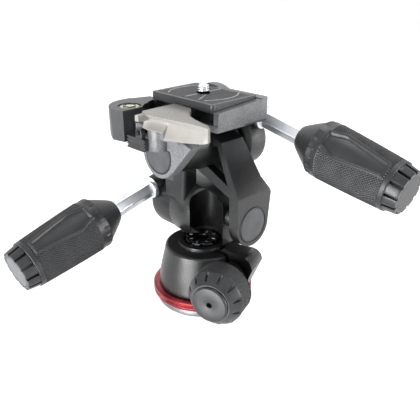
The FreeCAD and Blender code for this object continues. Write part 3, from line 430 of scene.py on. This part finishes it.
# Colours run from the darker to the lighter. Then come roughness, grain or groove width in mm, and
# how deep the grain is. Such grain is usually 0.1 to 0.2 mm and lathe grooves are about 0.1 mm:
# both are drawn at 0.35 to 0.9 mm, as coarse as they need to be to show. The clouds are blotches
# 3 to 9 mm wide, from the flow in a moulding or from uneven dye and plate on a metal.

# Glass filled nylon, moulded: black with a broad satin highlight that the grain breaks up.
black_body = satin_shell("glass_filled_nylon_satin_black", "#030303", "#1e1f21",
                         0.34, 0.90, 0.20)
# The same nylon in grey, with painted shade on its level bracket and on the lug under the side
# handle.
grey_body = satin_shell("glass_filled_nylon_satin_grey_painted_shade", "#535457", "#767779",
                        0.40, 0.90, 0.16, ("#1c1d1f", "#2b2c2e"))
# Textured coat on a die casting: charcoal with a soft, toothed highlight.
plate_coat = satin_shell("textured_coat_on_die_cast_plate", "#18191b", "#303134",
                         0.38, 0.9, 0.25)
# Smooth satin coat on a die casting: warm light grey with long clean highlights.
lever_coat = satin_shell("smooth_coat_on_die_cast_lever", "#83817c", "#989691",
                         0.28, 0.40, 0.02)
# Aluminium, turned and clear anodised: pale satin metal with fine rings.
anodised_disc = turned_metal("turned_aluminium_clear_anodised", "#7c7d81", "#8f9093", 0.38)
# Aluminium, turned, dyed red and sealed: deep red metal under a thin clear gloss.
anodised_ring = turned_metal("turned_aluminium_red_anodised", "#7a2228", "#943237",
                             0.32, 0.5, 0.3)
# Steel, turned and bare: mid grey metal.
turned_steel = turned_metal("turned_steel_bare", "#8a8b8d", "#a0a1a3", 0.32)
# Steel, turned and blackened: dark metal with a weak sheen.
black_steel = turned_metal("turned_steel_blackened", "#26272a", "#37383b", 0.36)
# Bearing bronze, turned: brown gold metal.
turned_bronze = turned_metal("turned_bronze", "#a8763e", "#c08f55", 0.35)
# Steel bar, drawn and nickel plated: pale satin metal that takes up the white round it.
bar_plate = plated_steel("nickel_plate_on_drawn_steel", "#d9dde2", "#eceff2", 0.36)
# Steel thread, rolled and nickel plated: sharper glints than the bars.
screw_plate = plated_steel("nickel_plate_on_rolled_thread", "#d2d5d9", "#e8eaec", 0.16)
# Spring wire, zinc plated: light, slightly dull metal.
wire_plate = plated_steel("zinc_plate_on_spring_wire", "#b4b6b9", "#cfd1d4", 0.20)
# Rubber, moulded: near black, a soft highlight and a trace of dusty sheen.
grip_rubber = moulding("moulded_rubber_grip", "#141517", "#222326", 0.42, 0.35, 0.05, 0.04)
# Nylon, moulded: black, a little glossier than the rubber beside it.
knob_nylon = moulding("moulded_nylon_black", "#1c1d1f", "#2b2c2f", 0.36, 0.60, 0.08)
# Nylon, moulded with a coarse grain: flat dark grey.
cap_nylon = moulding("moulded_nylon_grained_grey", "#343537", "#48494c", 0.42, 0.90, 0.20)
# Rubber, moulded in grey: dull, so that the ribs show by their own shade.
pad_rubber = moulding("moulded_rubber_pad", "#3c3d40", "#4c4d50", 0.46, 0.40, 0.05)
# A near black bead round a cap: painted shade in the gap round it.
cap_gap_shade = moulding("painted_shade_in_cap_gap", "#08090a", "#101112", 0.50, 0.60, 0.02)
# Rubber, smooth from a polished tool and coloured pale: thin light lines.
line_rubber = moulding("polished_rubber_line", "#a6a7aa", "#b8b9bc", 0.34, 0.60, 0.02)
# Air under clear acrylic: the palest spot of the level.
bubble_clear = moulding("clear_acrylic_bubble", "#eef2d2", "#f6f9e2", 0.10, 0.80, 0.01)
# Ink, printed: a thin dark circle.
circle_ink = moulding("printed_ink_level_circle", "#2c3020", "#3a3e2c", 0.40, 0.80, 0.01)
# Aluminium disc, spun: light grey metal with wide rings.
light_disc = turned_metal("spun_aluminium_end_disc", "#6f7073", "#828386", 0.42, 0.7)
# End disc of the side grip, the same kind of disc as the tilt grip's: painted shade makes it near
# black and dull.
shaded_end_disc = satin_shell("end_disc_painted_shade", "#0e0f10", "#18191b", 0.40, 0.8, 0.12)
# Acrylic capsule, clear, over tinted spirit: glossy, pale yellow green.
spirit = tinted_spirit("acrylic_vial_tinted_spirit")

finish_of = {
    black_body: ["pan_cup", "pan_post", "tilt_yoke"],
    grey_body: ["platform"],
    plate_coat: ["quick_plate"],
    lever_coat: ["quick_lever"],
    anodised_disc: ["base_disc"],
    anodised_ring: ["pan_ring"],
    turned_steel: ["thread_insert", "pan_wave_washer", "clamp_nut", "clamp_bolt", "tilt_drum",
                   "tilt_pin", "side_shaft"],
    black_steel: ["pan_lock_nut", "pan_spindle", "catch_pin"],
    turned_bronze: ["pan_thrust_washer", "tilt_bush"],
    bar_plate: ["tilt_handle_rod", "side_handle_rod", "tilt_handle_collar",
                "side_handle_collar", "lever_pin"],
    wire_plate: ["lever_spring"],
    knob_nylon: ["pan_knob", "pan_knob_cap", "safety_catch", "level_ring", "tilt_grip_end_ring",
                 "side_grip_end_ring"],
    cap_nylon: ["arm_cap", "hub_cap", "rear_cap", "front_cap"],
    light_disc: ["tilt_grip_end_disc"],
    shaded_end_disc: ["side_grip_end_disc"],
    spirit: ["level_vial"],
}


# ---- CAD nodes: finish and broken edges --------------------------------------
def break_edges(piece, width):
    """Rounds off the sharp edges of a piece so that they catch the light."""
    weld = piece.modifiers.new("weld", "WELD")
    weld.merge_threshold = node_gap * MM
    bevel = piece.modifiers.new("edge_break", "BEVEL")
    bevel.width = width * MM
    bevel.segments = edge_segments
    bevel.limit_method = "ANGLE"
    bevel.angle_limit = math.radians(edge_angle)
    bevel.harden_normals = True
    bevel.use_clamp_overlap = True


for finish, names in finish_of.items():
    for name in names:
        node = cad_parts[name]
        node.data.materials.clear()
        node.data.materials.append(finish)
        if not name.endswith("_handle_rod"):
            break_edges(node, edge_break_of.get(name, edge_break))


# ---- pieces made here ----------------------------------------------------------
def ease(value):
    """Smooth step from 0 to 1."""
    value = min(max(value, 0.0), 1.0)
    return value * value * (3 - 2 * value)


def way_out(foot, outward):
    """Place of a piece along its own axis: z runs outwards, x is its upper side."""
    along = Vector(outward).normalized()
    upper = (Vector((0, 0, 1)) - along * along.z).normalized()
    turn = Matrix((upper, along.cross(upper), along)).transposed().to_4x4()
    return Matrix.Translation(Vector(foot)) @ turn


def make_piece(name, points, faces, finish, body, sharp=False):
    """Mesh piece from points in millimetres, with its finish, on its body."""
    mesh = bpy.data.meshes.new(name)
    mesh.from_pydata([Vector(p) * MM for p in points], [], faces)
    mesh.validate()
    mesh.update()
    mesh.materials.append(finish)
    mesh.shade_smooth()
    if sharp:
        mesh.set_sharp_from_angle(angle=math.radians(crease))
    piece = bpy.data.objects.new(name, mesh)
    bpy.context.collection.objects.link(piece)
    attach(piece, body)
    return piece


def skin(place, rings, columns, radius_at):
    """Closed skin round an axis: a ring is (length, key); radius_at gives each point's radius."""
    points = []
    for length, key in rings:
        for column in range(columns):
            angle = 2 * math.pi * column / columns
            radius = radius_at(length, key, angle)
            point = Vector((radius * math.cos(angle), radius * math.sin(angle), length))
            points.append(place @ point)
    faces = []
    for row in range(len(rings)):
        here, there = row * columns, (row + 1) % len(rings) * columns
        for column in range(columns):
            after = (column + 1) % columns
            faces.append((here + column, here + after, there + after, there + column))
    return points, faces


def knurl(length, angle, starts, lead, depth):
    """Depth below the crest of a diamond knurl cut by two sets of helical grooves."""
    first = (angle * starts / (2 * math.pi) + length / lead) % 1
    second = (angle * starts / (2 * math.pi) - length / lead) % 1
    crest = min(1 - abs(2 * first - 1), 1 - abs(2 * second - 1))
    return depth * (1 - min(crest * knurl_flat, 1.0))


def grip_profile(length):
    """Radius of the plain grip at a length from its start."""
    if length < grip_cone:
        growth = grip_shoulder_radius - cone_step - grip_start_radius
        return grip_start_radius + growth * (length / grip_cone) ** cone_curve
    if length < grip_cone + grip_shoulder:
        return grip_shoulder_radius
    if length < grip_radius_at:
        share = (length - grip_cone - grip_shoulder) / (grip_radius_at - grip_cone - grip_shoulder)
        return grip_shoulder_radius + (grip_radius - grip_shoulder_radius) * share
    share = (length - grip_radius_at) / (grip_end - grip_radius_at)
    return grip_radius + (grip_end_radius - grip_radius) * share ** barrel_curve


def window_half(length):
    """Half width of a grip's window at a length."""
    if length < window_widest:
        share = (length - window_start) / (window_widest - window_start)
        return window_start_half + (window_widest_half - window_start_half) * ease(share)
    share = (length - window_widest) / (window_end - window_widest)
    return window_widest_half + (window_end_half - window_widest_half) * share


def grip_surface(length, angle):
    """Radius of the grip: window, its frame, shoulder ticks and knurl."""
    radius = grip_profile(length)
    across = abs((angle + math.pi / 2) % math.pi - math.pi / 2) * radius
    inside = min(window_half(length) - across, length - window_start, window_end - length)
    if inside > 0:
        return radius - window_depth * ease(inside / window_edge)
    if inside > -window_rim:
        return radius + window_rim_height * ease(1 - abs(2 * inside / window_rim + 1))
    if knurl_start < length < knurl_end:
        return radius - knurl(length, angle, knurl_starts, knurl_lead, knurl_depth)
    tick_pitch = 2 * math.pi / tick_count
    from_tick = abs((angle / tick_pitch) % 1 - 0.5) * tick_pitch * radius
    tick_end = grip_cone + grip_shoulder + tick_reach
    if grip_cone + tick_inset < length < tick_end and from_tick < tick_half:
        return radius + tick_height
    return radius


def make_grip(node, body, foot, outward, window_turn):
    """Rubber sleeve over a cone, with a bare window on two sides and a diamond knurl between."""
    turn = Matrix.Rotation(math.radians(window_turn), 4, "Z")
    place = way_out(foot, outward) @ turn @ Matrix.Translation((0, 0, grip_start))
    rings = [(0.0, 0.0), (0.0, 1.0)]
    rings += [(grip_end * row / grip_rows, 1.0) for row in range(1, grip_rows)]
    rings += [(grip_end, 1.0), (grip_end, 0.0)]

    def radius_at(length, key, angle):
        return grip_surface(length, angle) if key else grip_bore

    points, faces = skin(place, rings, grip_columns, radius_at)
    piece = make_piece(node + "_sleeve", points, faces, grip_rubber, body)
    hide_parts(node)


def make_band():
    """Knurled rubber band of the pan knob."""
    width = band_end - band_start
    rings = [(band_start, 0.0), (band_start, 1.0)]
    rings += [(band_start + width * row / band_rows, 2.0) for row in range(1, band_rows)]
    rings += [(band_end, 1.0), (band_end, 0.0)]

    def radius_at(length, key, angle):
        if key == 0.0:
            return band_bore
        if key == 1.0:
            return band_radius - band_knurl_depth
        return band_radius - knurl(length, angle, band_knurl_starts, band_knurl_lead,
                                   band_knurl_depth)

    points, faces = skin(way_out(knob_foot, knob_way), rings, band_columns, radius_at)
    piece = make_piece("pan_knob_knurl", points, faces, grip_rubber, "knob")
    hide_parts("pan_knob_band")


def make_camera_screw():
    """Captive screw with a rolled thread above the pad."""
    place = Matrix.Translation((screw_place[0], screw_place[1], 0))
    thread_length = screw_top - screw_thread_foot
    rings = [(screw_foot, axis_gap), (screw_foot, screw_head_radius - screw_edge),
             (screw_foot + screw_edge, screw_head_radius),
             (screw_head_top - screw_edge, screw_head_radius),
             (screw_head_top, screw_head_radius - screw_edge),
             (screw_head_top, screw_neck_radius), (screw_thread_foot, screw_neck_radius)]
    rings += [(screw_thread_foot + thread_length * step / thread_steps, -1.0)
              for step in range(thread_steps)]
    rings += [(screw_top, screw_neck_radius), (screw_top, axis_gap)]

    def radius_at(length, key, angle):
        if key > 0:
            return key
        turn = ((length - screw_thread_foot) / thread_pitch - angle / (2 * math.pi)) % 1
        run_out = ease((screw_top - length) / thread_run_out)
        run_in = ease((length - screw_thread_foot) / thread_run_in + thread_foot_share)
        crest = screw_radius - thread_depth * min(1.0, abs(2 * turn - 1) * thread_root)
        return screw_neck_radius + (crest - screw_neck_radius) * (run_out * run_in)

    points, faces = skin(place, rings, screw_columns, radius_at)
    piece = make_piece("camera_screw_thread", points, faces, screw_plate, "screw")
    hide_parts("camera_screw")


def make_pad():
    """Rubber pad with fine ribs, left smooth along its ring and its two lines."""
    columns = round((pad_right - pad_left) / pad_column)
    rows = round((pad_front - pad_back) / pad_row)

    def height(x, y):
        dx, dy = x - screw_place[0], y - screw_place[1]
        edge = min(x - pad_left, pad_right - x, y - pad_back, pad_front - y)
        if edge < pad_edge_width:
            return pad_top - pad_edge_drop
        if near_line(dx, dy) or edge < pad_frame:
            return pad_top - pad_frame_drop
        rib = abs(2 * ((x / pad_rib_pitch) % 1) - 1)
        bar = abs(2 * ((y / (2 * pad_rib_pitch)) % 1) - 1)
        groove = ease(2.4 * rib - 0.7) * (0.8 + 0.2 * ease(bar * 3))   # crossed by shallow bars
        return pad_top - pad_rib_depth * groove

    points, faces = [], []
    for row in range(rows + 1):
        y = pad_back + (pad_front - pad_back) * row / rows
        for column in range(columns + 1):
            x = pad_left + (pad_right - pad_left) * column / columns
            points.append((x, y, height(x, y)))
    width = columns + 1
    for row in range(rows):
        for column in range(columns):
            first = row * width + column
            middle = ((points[first][0] + pad_column / 2 - screw_place[0]) ** 2
                      + (points[first][1] + pad_row / 2 - screw_place[1]) ** 2) ** 0.5
            if middle > pad_hole:
                faces.append((first, first + 1, first + width + 1, first + width))
    rim = ([column for column in range(columns)]
           + [row * width + columns for row in range(rows)]
           + [rows * width + column for column in range(columns, 0, -1)]
           + [row * width for row in range(rows, 0, -1)])
    foot = len(points)
    points += [(points[i][0], points[i][1], pad_foot) for i in rim]
    for i in range(len(rim)):
        j = (i + 1) % len(rim)
        faces.append((rim[i], foot + i, foot + j, rim[j]))
    piece = make_piece("grip_pad_ribs", points, faces, pad_rubber, "head")
    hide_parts("grip_pad")


def near_line(dx, dy):
    """Whether a point of the pad lies on its ring or one of its two lines."""
    if abs(math.hypot(dx, dy) - pad_ring_radius) < pad_line_half:
        return True
    if abs(dx) < pad_line_half and abs(dy) > pad_hole:
        return True
    turn = math.radians(slant_turn)
    off = (dx - slant_foot[0]) * math.cos(turn) + (dy - slant_foot[1]) * math.sin(turn)
    return abs(off) < pad_line_half and dy < slant_foot[1]


def make_strip(name, centre_line, half, top, thick, finish, body):
    """Flat smooth strip along a line of points, standing a little over what carries it."""
    points, faces = [], []
    count = len(centre_line)
    for i, (x, y) in enumerate(centre_line):
        before = Vector(centre_line[max(i - 1, 0)])
        after = Vector(centre_line[min(i + 1, count - 1)])
        along = (after - before).normalized()
        crown = half * strip_top_share
        for side, level in ((half, top - thick), (crown, top), (-crown, top), (-half, top - thick)):
            points.append((x - along.y * side, y + along.x * side, level))
    for i in range(count - 1):
        for corner in range(4):
            after = (corner + 1) % 4
            faces.append((4 * i + corner, 4 * i + after, 4 * i + 4 + after, 4 * i + 4 + corner))
    faces += [(0, 3, 2, 1), tuple(4 * (count - 1) + corner for corner in range(4))]
    return make_piece(name, points, faces, finish, body, sharp=True)


def make_pad_lines():
    """Smooth light lines of the pad: two arcs round the screw, a straight and a slanting line."""
    x0, y0 = screw_place
    back, front = pad_back + pad_line_end, pad_front - pad_line_end
    reach = math.degrees(math.asin(pad_arc_reach / pad_ring_radius))
    lines = []
    for name, middle in (("pad_arc_left", 180), ("pad_arc_right", 0)):
        angles = [math.radians(middle - reach + 2 * reach * i / pad_arc_steps)
                  for i in range(pad_arc_steps + 1)]
        ring = [(x0 + pad_ring_radius * math.cos(angle), y0 + pad_ring_radius * math.sin(angle))
                for angle in angles]
        lines.append((name, ring))
    lines.append(("pad_line_back", [(x0, y0 - pad_line_start), (x0, back)]))
    lines.append(("pad_line_front", [(x0, y0 + pad_line_start), (x0, front)]))
    lines.append(("pad_line_slant", [(x0 + slant_start[0], y0 + slant_start[1]),
                                     (x0 + slant_end, back)]))
    for name, line in lines:
        make_strip(name, line, strip_half, pad_top + strip_over, strip_thick, line_rubber,
                   "head")


def make_bead(name, line, across, wire, finish, body):
    """Thin round bead along an open line of points; across is square to the line everywhere."""
    sides, count = 8, len(line)
    points, faces = [], []
    for i, spot in enumerate(line):
        along = (line[min(i + 1, count - 1)] - line[max(i - 1, 0)]).normalized()
        out = along.cross(across).normalized()
        for j in range(sides):
            turn = 2 * math.pi * j / sides
            points.append(spot + (out * math.cos(turn) + across * math.sin(turn)) * wire)
    for i in range(count - 1):
        for j in range(sides):
            after = (j + 1) % sides
            faces.append((i * sides + j, i * sides + after,
                          (i + 1) * sides + after, (i + 1) * sides + j))
    faces += [tuple(range(sides - 1, -1, -1)),
              tuple((count - 1) * sides + j for j in range(sides))]
    return make_piece(name, points, faces, finish, body)


def arc(centre, first, second, radius, start, end, steps=96):
    """Points of an arc from the first towards the second direction, angles in degrees."""
    first, second = Vector(first), Vector(second)
    angles = [math.radians(start + (end - start) * i / steps) for i in range(steps + 1)]
    return [Vector(centre) + radius * (math.cos(a) * first + math.sin(a) * second) for a in angles]


def make_cap_gap_shades():
    """Painted shade in the gap round each bearing cap: a near black bead laid along it."""
    make_bead("arm_cap_gap_shade",
              arc(arm_cap_centre, (0, 1, 0), (0, 0, 1), arm_gap_shade_radius, 0, 360),
              Vector((1, 0, 0)), gap_shade_wire, cap_gap_shade, "yoke")
    make_bead("rear_cap_gap_shade",
              arc(rear_cap_centre, (1, 0, 0), (0, 0, 1), rear_gap_shade_radius, rear_gap_shade_start,
                  rear_gap_shade_end),
              Vector((0, 1, 0)), gap_shade_wire, cap_gap_shade, "head")


def make_knob():
    """Pan knob: plain back, a cone with finger slots and a domed cap with its screw socket."""
    place = way_out(knob_foot, knob_way)
    seat = knob_length - knob_recess
    rings = [(0.0, knob_bore), (0.0, knob_back_radius), (band_start, band_radius),
             (band_start, band_bore), (band_end, band_bore), (band_end, -1.0)]
    rings += [(band_end + (knob_length - band_end) * step / knob_cone_steps, -1.0)
              for step in range(1, knob_cone_steps + 1)]
    rings += [(knob_length, cap_radius + cap_clearance), (seat, cap_radius + cap_clearance),
              (seat, knob_bore)]

    def radius_at(length, key, angle):
        if key > 0:
            return key
        share = (length - band_end) / (knob_length - band_end)
        slot = angle * knob_slots / (2 * math.pi)
        fall = knob_front_radius - knob_shoulder_radius
        radius = knob_shoulder_radius + fall * share ** knob_curve
        across = abs(slot % 1 - 0.5) * 2 * math.pi * radius / knob_slots
        groove = 1 - ease((across - knob_slot_half) / knob_slot_edge)
        lift = knob_land_lift * ((slot + 0.5) % 1) * (1 - groove)
        depth = ease(share * knob_slot_start) * (1 - ease((share - knob_slot_end) / knob_slot_fade))
        return radius - knob_slot_depth * groove * depth + lift * (1 - share)

    points, faces = skin(place, rings, knob_columns, radius_at)
    piece = make_piece("pan_knob_cone", points, faces, knob_nylon, "knob",
                       sharp=True)
    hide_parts("pan_knob")
    foot, wall = knob_length - cap_foot, knob_length + cap_wall
    crown, inner = wall + cap_edge, cap_radius - cap_edge
    floor_level = knob_length - socket_depth
    dome = [(foot, cap_back_radius), (foot, cap_radius), (wall, cap_radius)]
    turns = [math.radians(angle) for angle in range(15, 91, 15)]
    dome += [(wall + cap_edge * math.sin(turn), inner + cap_edge * math.cos(turn))
             for turn in turns]
    dome += [(crown + cap_crown_rise * ease(share), inner - cap_crown_width * share)
             for share in (0.3, 0.6, 1.0)]
    dome += [(knob_length + height, radius) for height, radius in cap_dish]
    dome += [(knob_length + socket_mouth, socket_radius + socket_edge),
             (knob_length + socket_top, socket_radius), (floor_level, socket_radius),
             (floor_level, axis_gap), (foot + axis_gap, axis_gap)]
    points, faces = skin(place, dome, cap_columns, lambda length, key, angle: key)
    piece = make_piece("pan_knob_dome", points, faces, knob_nylon, "knob",
                       sharp=True)
    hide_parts("pan_knob_cap")


def make_rod(node, body, foot, outward):
    """Hexagonal drawn bar with a round screw end, its corners just broken."""
    rings = [(-screw_end, axis_gap), (-screw_end, rod_screw_radius - rod_screw_edge),
             (rod_screw_edge - screw_end, rod_screw_radius), (-rod_shoulder, rod_screw_radius),
             (-rod_shoulder, -1.0), (rod_end, -1.0), (rod_end, axis_gap)]

    def radius_at(length, key, angle):
        if key > 0:
            return key
        flat = (angle + math.pi / 6) % (math.pi / 3) - math.pi / 6
        return min(rod_flats / 2 / math.cos(flat), rod_corner_radius)

    points, faces = skin(way_out(foot, outward), rings, rod_columns, radius_at)
    piece = make_piece(node + "_bar", points, faces, bar_plate, body, sharp=True)
    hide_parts(node)


def blend_rows(rows, share):
    """Straight blend between two rows of a table, so that a step in it stays crisp."""
    spot = share * (len(rows) - 1)
    index = min(int(spot), len(rows) - 2)
    return [a + (b - a) * (spot - index) for a, b in zip(rows[index], rows[index + 1])]


def lever_section(row):
    """Closed outline of the blade across: flat top, lip, scooped outer side, plain inner side."""
    outer_x, outer_y, inner_x, inner_y, bottom, scoop, top = row
    across = Vector((inner_x - outer_x, inner_y - outer_y, 0))
    width = across.length
    across.normalize()
    outer = Vector((outer_x, outer_y, 0))
    lip, foot = top - lever_edge, bottom + lever_foot
    deepest = lip - scoop_overhang
    outline = [(width - lever_back_edge, top), (width * 0.5, top), (lever_lip_edge, top),
               (0.0, top - lever_lip_edge), (0.0, lip)]
    for share in scoop_shares:
        if share <= scoop_turn:
            outline.append((scoop * share / scoop_turn, lip - scoop_overhang * share / scoop_turn))
            continue
        rest = (share - scoop_turn) / (1 - scoop_turn)
        outline.append((scoop * math.cos(rest * math.pi / 2), deepest - (deepest - foot) * rest))
    outline += [(0.0, foot), (0.0, bottom + lever_back_edge), (lever_edge, bottom),
                (width * 0.5, bottom), (width - lever_edge, bottom),
                (width, bottom + lever_edge), (width, top - lever_edge)]
    return [outer + across * min(inwards, width) + Vector((0, 0, level))
            for inwards, level in outline]


def make_lever():
    """Swept thumb lever: cam end against the plate, scooped blade and a small thumb fin."""
    points, faces = [], []
    for station in range(lever_stations + 1):
        points += lever_section(blend_rows(lever_rows, station / lever_stations))
    side = len(lever_section(lever_rows[0]))
    for station in range(lever_stations):
        here, there = station * side, (station + 1) * side
        for corner in range(side):
            after = (corner + 1) % side
            faces.append((here + corner, here + after, there + after, there + corner))
    faces += [tuple(range(side - 1, -1, -1)),
              tuple(lever_stations * side + corner for corner in range(side))]
    first = len(points)
    for level, draft in ((lever_top - fin_height, 0.0), (lever_top - fin_sink, fin_draft)):
        points += [(x + draft * in_x, y + draft * in_y, level)
                   for (x, y), (in_x, in_y) in zip(fin_corners, fin_inwards)]
    faces += [(first + 3, first + 2, first + 1, first),
              (first + 4, first + 5, first + 6, first + 7)]
    faces += [(first + i, first + (i + 1) % 4, first + 4 + (i + 1) % 4, first + 4 + i)
              for i in range(4)]
    piece = make_piece("quick_lever_blade", points, faces, lever_coat, "lever",
                       sharp=True)
    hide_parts("quick_lever")


def make_nut_slots():
    """Light grey steel strips on the flanks of the lock nut's key slots."""
    for slot in range(nut_slots):
        angle = 2 * math.pi * (slot + 0.5) / nut_slots
        along = Vector((math.cos(angle), math.sin(angle), 0))
        start, end = along * nut_slot_inner, along * nut_slot_outer
        make_strip("lock_nut_slot_" + str(slot), [start.xy, end.xy], nut_slot_half, nut_slot_top,
                   nut_slot_thick, turned_steel, "base")


def make_level():
    """Bubble under its circle, seen through the top of the vial."""
    make_bead("level_circle", arc(level_centre, (1, 0, 0), (0, 1, 0), level_circle_radius, 0, 360),
              Vector((0, 0, 1)), level_circle_wire, circle_ink, "head")
    turns = [step * math.pi / bubble_steps for step in range(bubble_steps)]
    rings = [(level_centre[2] + bubble_height * math.cos(turn),
              axis_gap + bubble_radius * math.sin(turn)) for turn in turns]
    points, faces = skin(Matrix.Translation((*bubble_centre, 0)), rings, bubble_columns,
                         lambda length, key, angle: key)
    make_piece("level_bubble", points, faces, bubble_clear, "head")


def level_way(slope, x, y):
    """Outward direction of a handle that runs towards x, y and falls by its slope in degrees."""
    fall = math.radians(slope)
    return x * math.cos(fall), y * math.cos(fall), -math.sin(fall)


tilt_handle_way = level_way(tilt_handle_slope, 0, -1)
side_handle_way = level_way(side_handle_slope, 1, 0)
make_grip("tilt_grip", "tilt_handle", tilt_handle_foot, tilt_handle_way, tilt_window_turn)
make_grip("side_grip", "side_handle", side_handle_foot, side_handle_way, side_window_turn)
make_rod("tilt_handle_rod", "tilt_handle", tilt_handle_foot, tilt_handle_way)
make_rod("side_handle_rod", "side_handle", side_handle_foot, side_handle_way)
make_lever()
make_nut_slots()
make_band()
make_knob()
make_cap_gap_shades()
make_camera_screw()
make_pad()
make_pad_lines()
make_level()


# ---- stage, light and camera --------------------------------------------------
def white_rays(tree):
    """1 for a ray from the eye, off a glossy surface or through glass, and 0 for any other."""
    path = add(tree, "ShaderNodeLightPath")
    seen = add(tree, "ShaderNodeMath", {"operation": "MAXIMUM"},
               {0: path.outputs["Is Camera Ray"], 1: path.outputs["Is Glossy Ray"]})
    any_ray = add(tree, "ShaderNodeMath", {"operation": "MAXIMUM"},
                  {0: seen.outputs["Value"], 1: path.outputs["Is Transmission Ray"]})
    return any_ray.outputs["Value"]


def floor():
    """Matt paper on a light table: white to the eye, and it keeps the object's soft shadow."""
    bpy.ops.mesh.primitive_plane_add(size=60)
    plane = bpy.context.object
    plane.name = "floor"
    made, tree = new_material("pale_paper_floor")[:2]
    paper = add(tree, "ShaderNodeBsdfPrincipled",
                {"Base Color": linear("#e6e6e6"), "Roughness": 0.9})
    level = add(tree, "ShaderNodeMath", {"operation": "MULTIPLY", 1: floor_glow},
                {0: white_rays(tree)})
    glow = add(tree, "ShaderNodeEmission", {"Color": linear("#ffffff")},
               {"Strength": level.outputs["Value"]})
    both = add(tree, "ShaderNodeAddShader",
               links={0: paper.outputs["BSDF"], 1: glow.outputs["Emission"]})
    add(tree, "ShaderNodeOutputMaterial", links={"Surface": both.outputs["Shader"]})
    plane.data.materials.append(made)
    plane.visible_shadow = False     # the lamp under the table shines through


def sky():
    """White all round to the eye and in reflections, dimmer as a light."""
    world = bpy.data.worlds.new("studio")
    bpy.context.scene.world = world
    world.use_nodes = True
    tree = world.node_tree
    tree.nodes.clear()
    strength = add(tree, "ShaderNodeMapRange", {"To Min": sky_as_light, "To Max": sky_to_eye},
                   {"Value": white_rays(tree)})
    back = add(tree, "ShaderNodeBackground", {"Color": linear("#ffffff")},
               {"Strength": strength.outputs["Result"]})
    add(tree, "ShaderNodeOutputWorld", links={"Surface": back.outputs["Background"]})


def softbox(name, place, aim, size, power):
    """Rectangular area lamp that looks at a point."""
    lamp = bpy.data.lights.new(name, "AREA")
    lamp.shape = "RECTANGLE"
    lamp.size, lamp.size_y = size
    lamp.energy = power
    made = bpy.data.objects.new(name, lamp)
    made.location = place
    made.visible_camera = False
    made.rotation_euler = (Vector(aim) - Vector(place)).to_track_quat("-Z", "Y").to_euler()
    bpy.context.collection.objects.link(made)


camera_azimuth = 45.44       # degrees from straight behind, towards the right
camera_elevation = 24.43
camera_distance = 332.79     # mm from the point aimed at
camera_lens = 46.73          # mm
camera_sensor = 36           # mm across
camera_side = 4.68           # mm that the aim lies right of the pan axis
camera_height = 58.66        # mm of the aim over the base


def camera():
    """Camera at the chosen angle, aimed a little right of the pan axis."""
    azimuth = math.radians(camera_azimuth)
    elevation = math.radians(camera_elevation)
    level = math.cos(elevation)
    back = Vector((math.sin(azimuth) * level, -math.cos(azimuth) * level, math.sin(elevation)))
    right = Vector((math.cos(azimuth), math.sin(azimuth), 0))
    aim = right * camera_side + Vector((0, 0, camera_height))
    lens = bpy.data.cameras.new("camera")
    lens.lens = camera_lens
    lens.sensor_width = camera_sensor
    lens.clip_start = 0.01
    made = bpy.data.objects.new("camera", lens)
    bpy.context.collection.objects.link(made)
    turn = Matrix((right, back.cross(right), back)).transposed()
    made.matrix_world = Matrix.Translation((aim + back * camera_distance) * MM) @ turn.to_4x4()
    bpy.context.scene.camera = made


floor()
sky()
lamp_aim = (0, 0, 0.07)      # m: the middle of the head
lamps = [                    # name, place and size in metres, power in watts
    ("key_low", (-0.04, -0.86, 0.10), (0.20, 0.16), 6.5),
    ("key_front", (0.26, -0.82, 0.12), (0.12, 0.16), 2.0),
    ("table_front", (0.12, -0.66, -0.20), (0.12, 0.20), 3.5),
    ("key_left", (-0.62, -0.52, 0.22), (0.22, 0.32), 0.8),
    ("strip_right", (0.70, 0.34, 0.14), (0.16, 0.26), 5.0),
    ("back_panel", (-0.81, 0.80, 0.60), (1.1, 0.8), 1.0),
    ("top", (-0.10, 0.25, 0.85), (0.40, 0.40), 2.8),
]
for name, place, size, power in lamps:
    softbox(name, place, lamp_aim, size, power)
camera()
bpy.context.scene.view_settings.view_transform = "Standard"
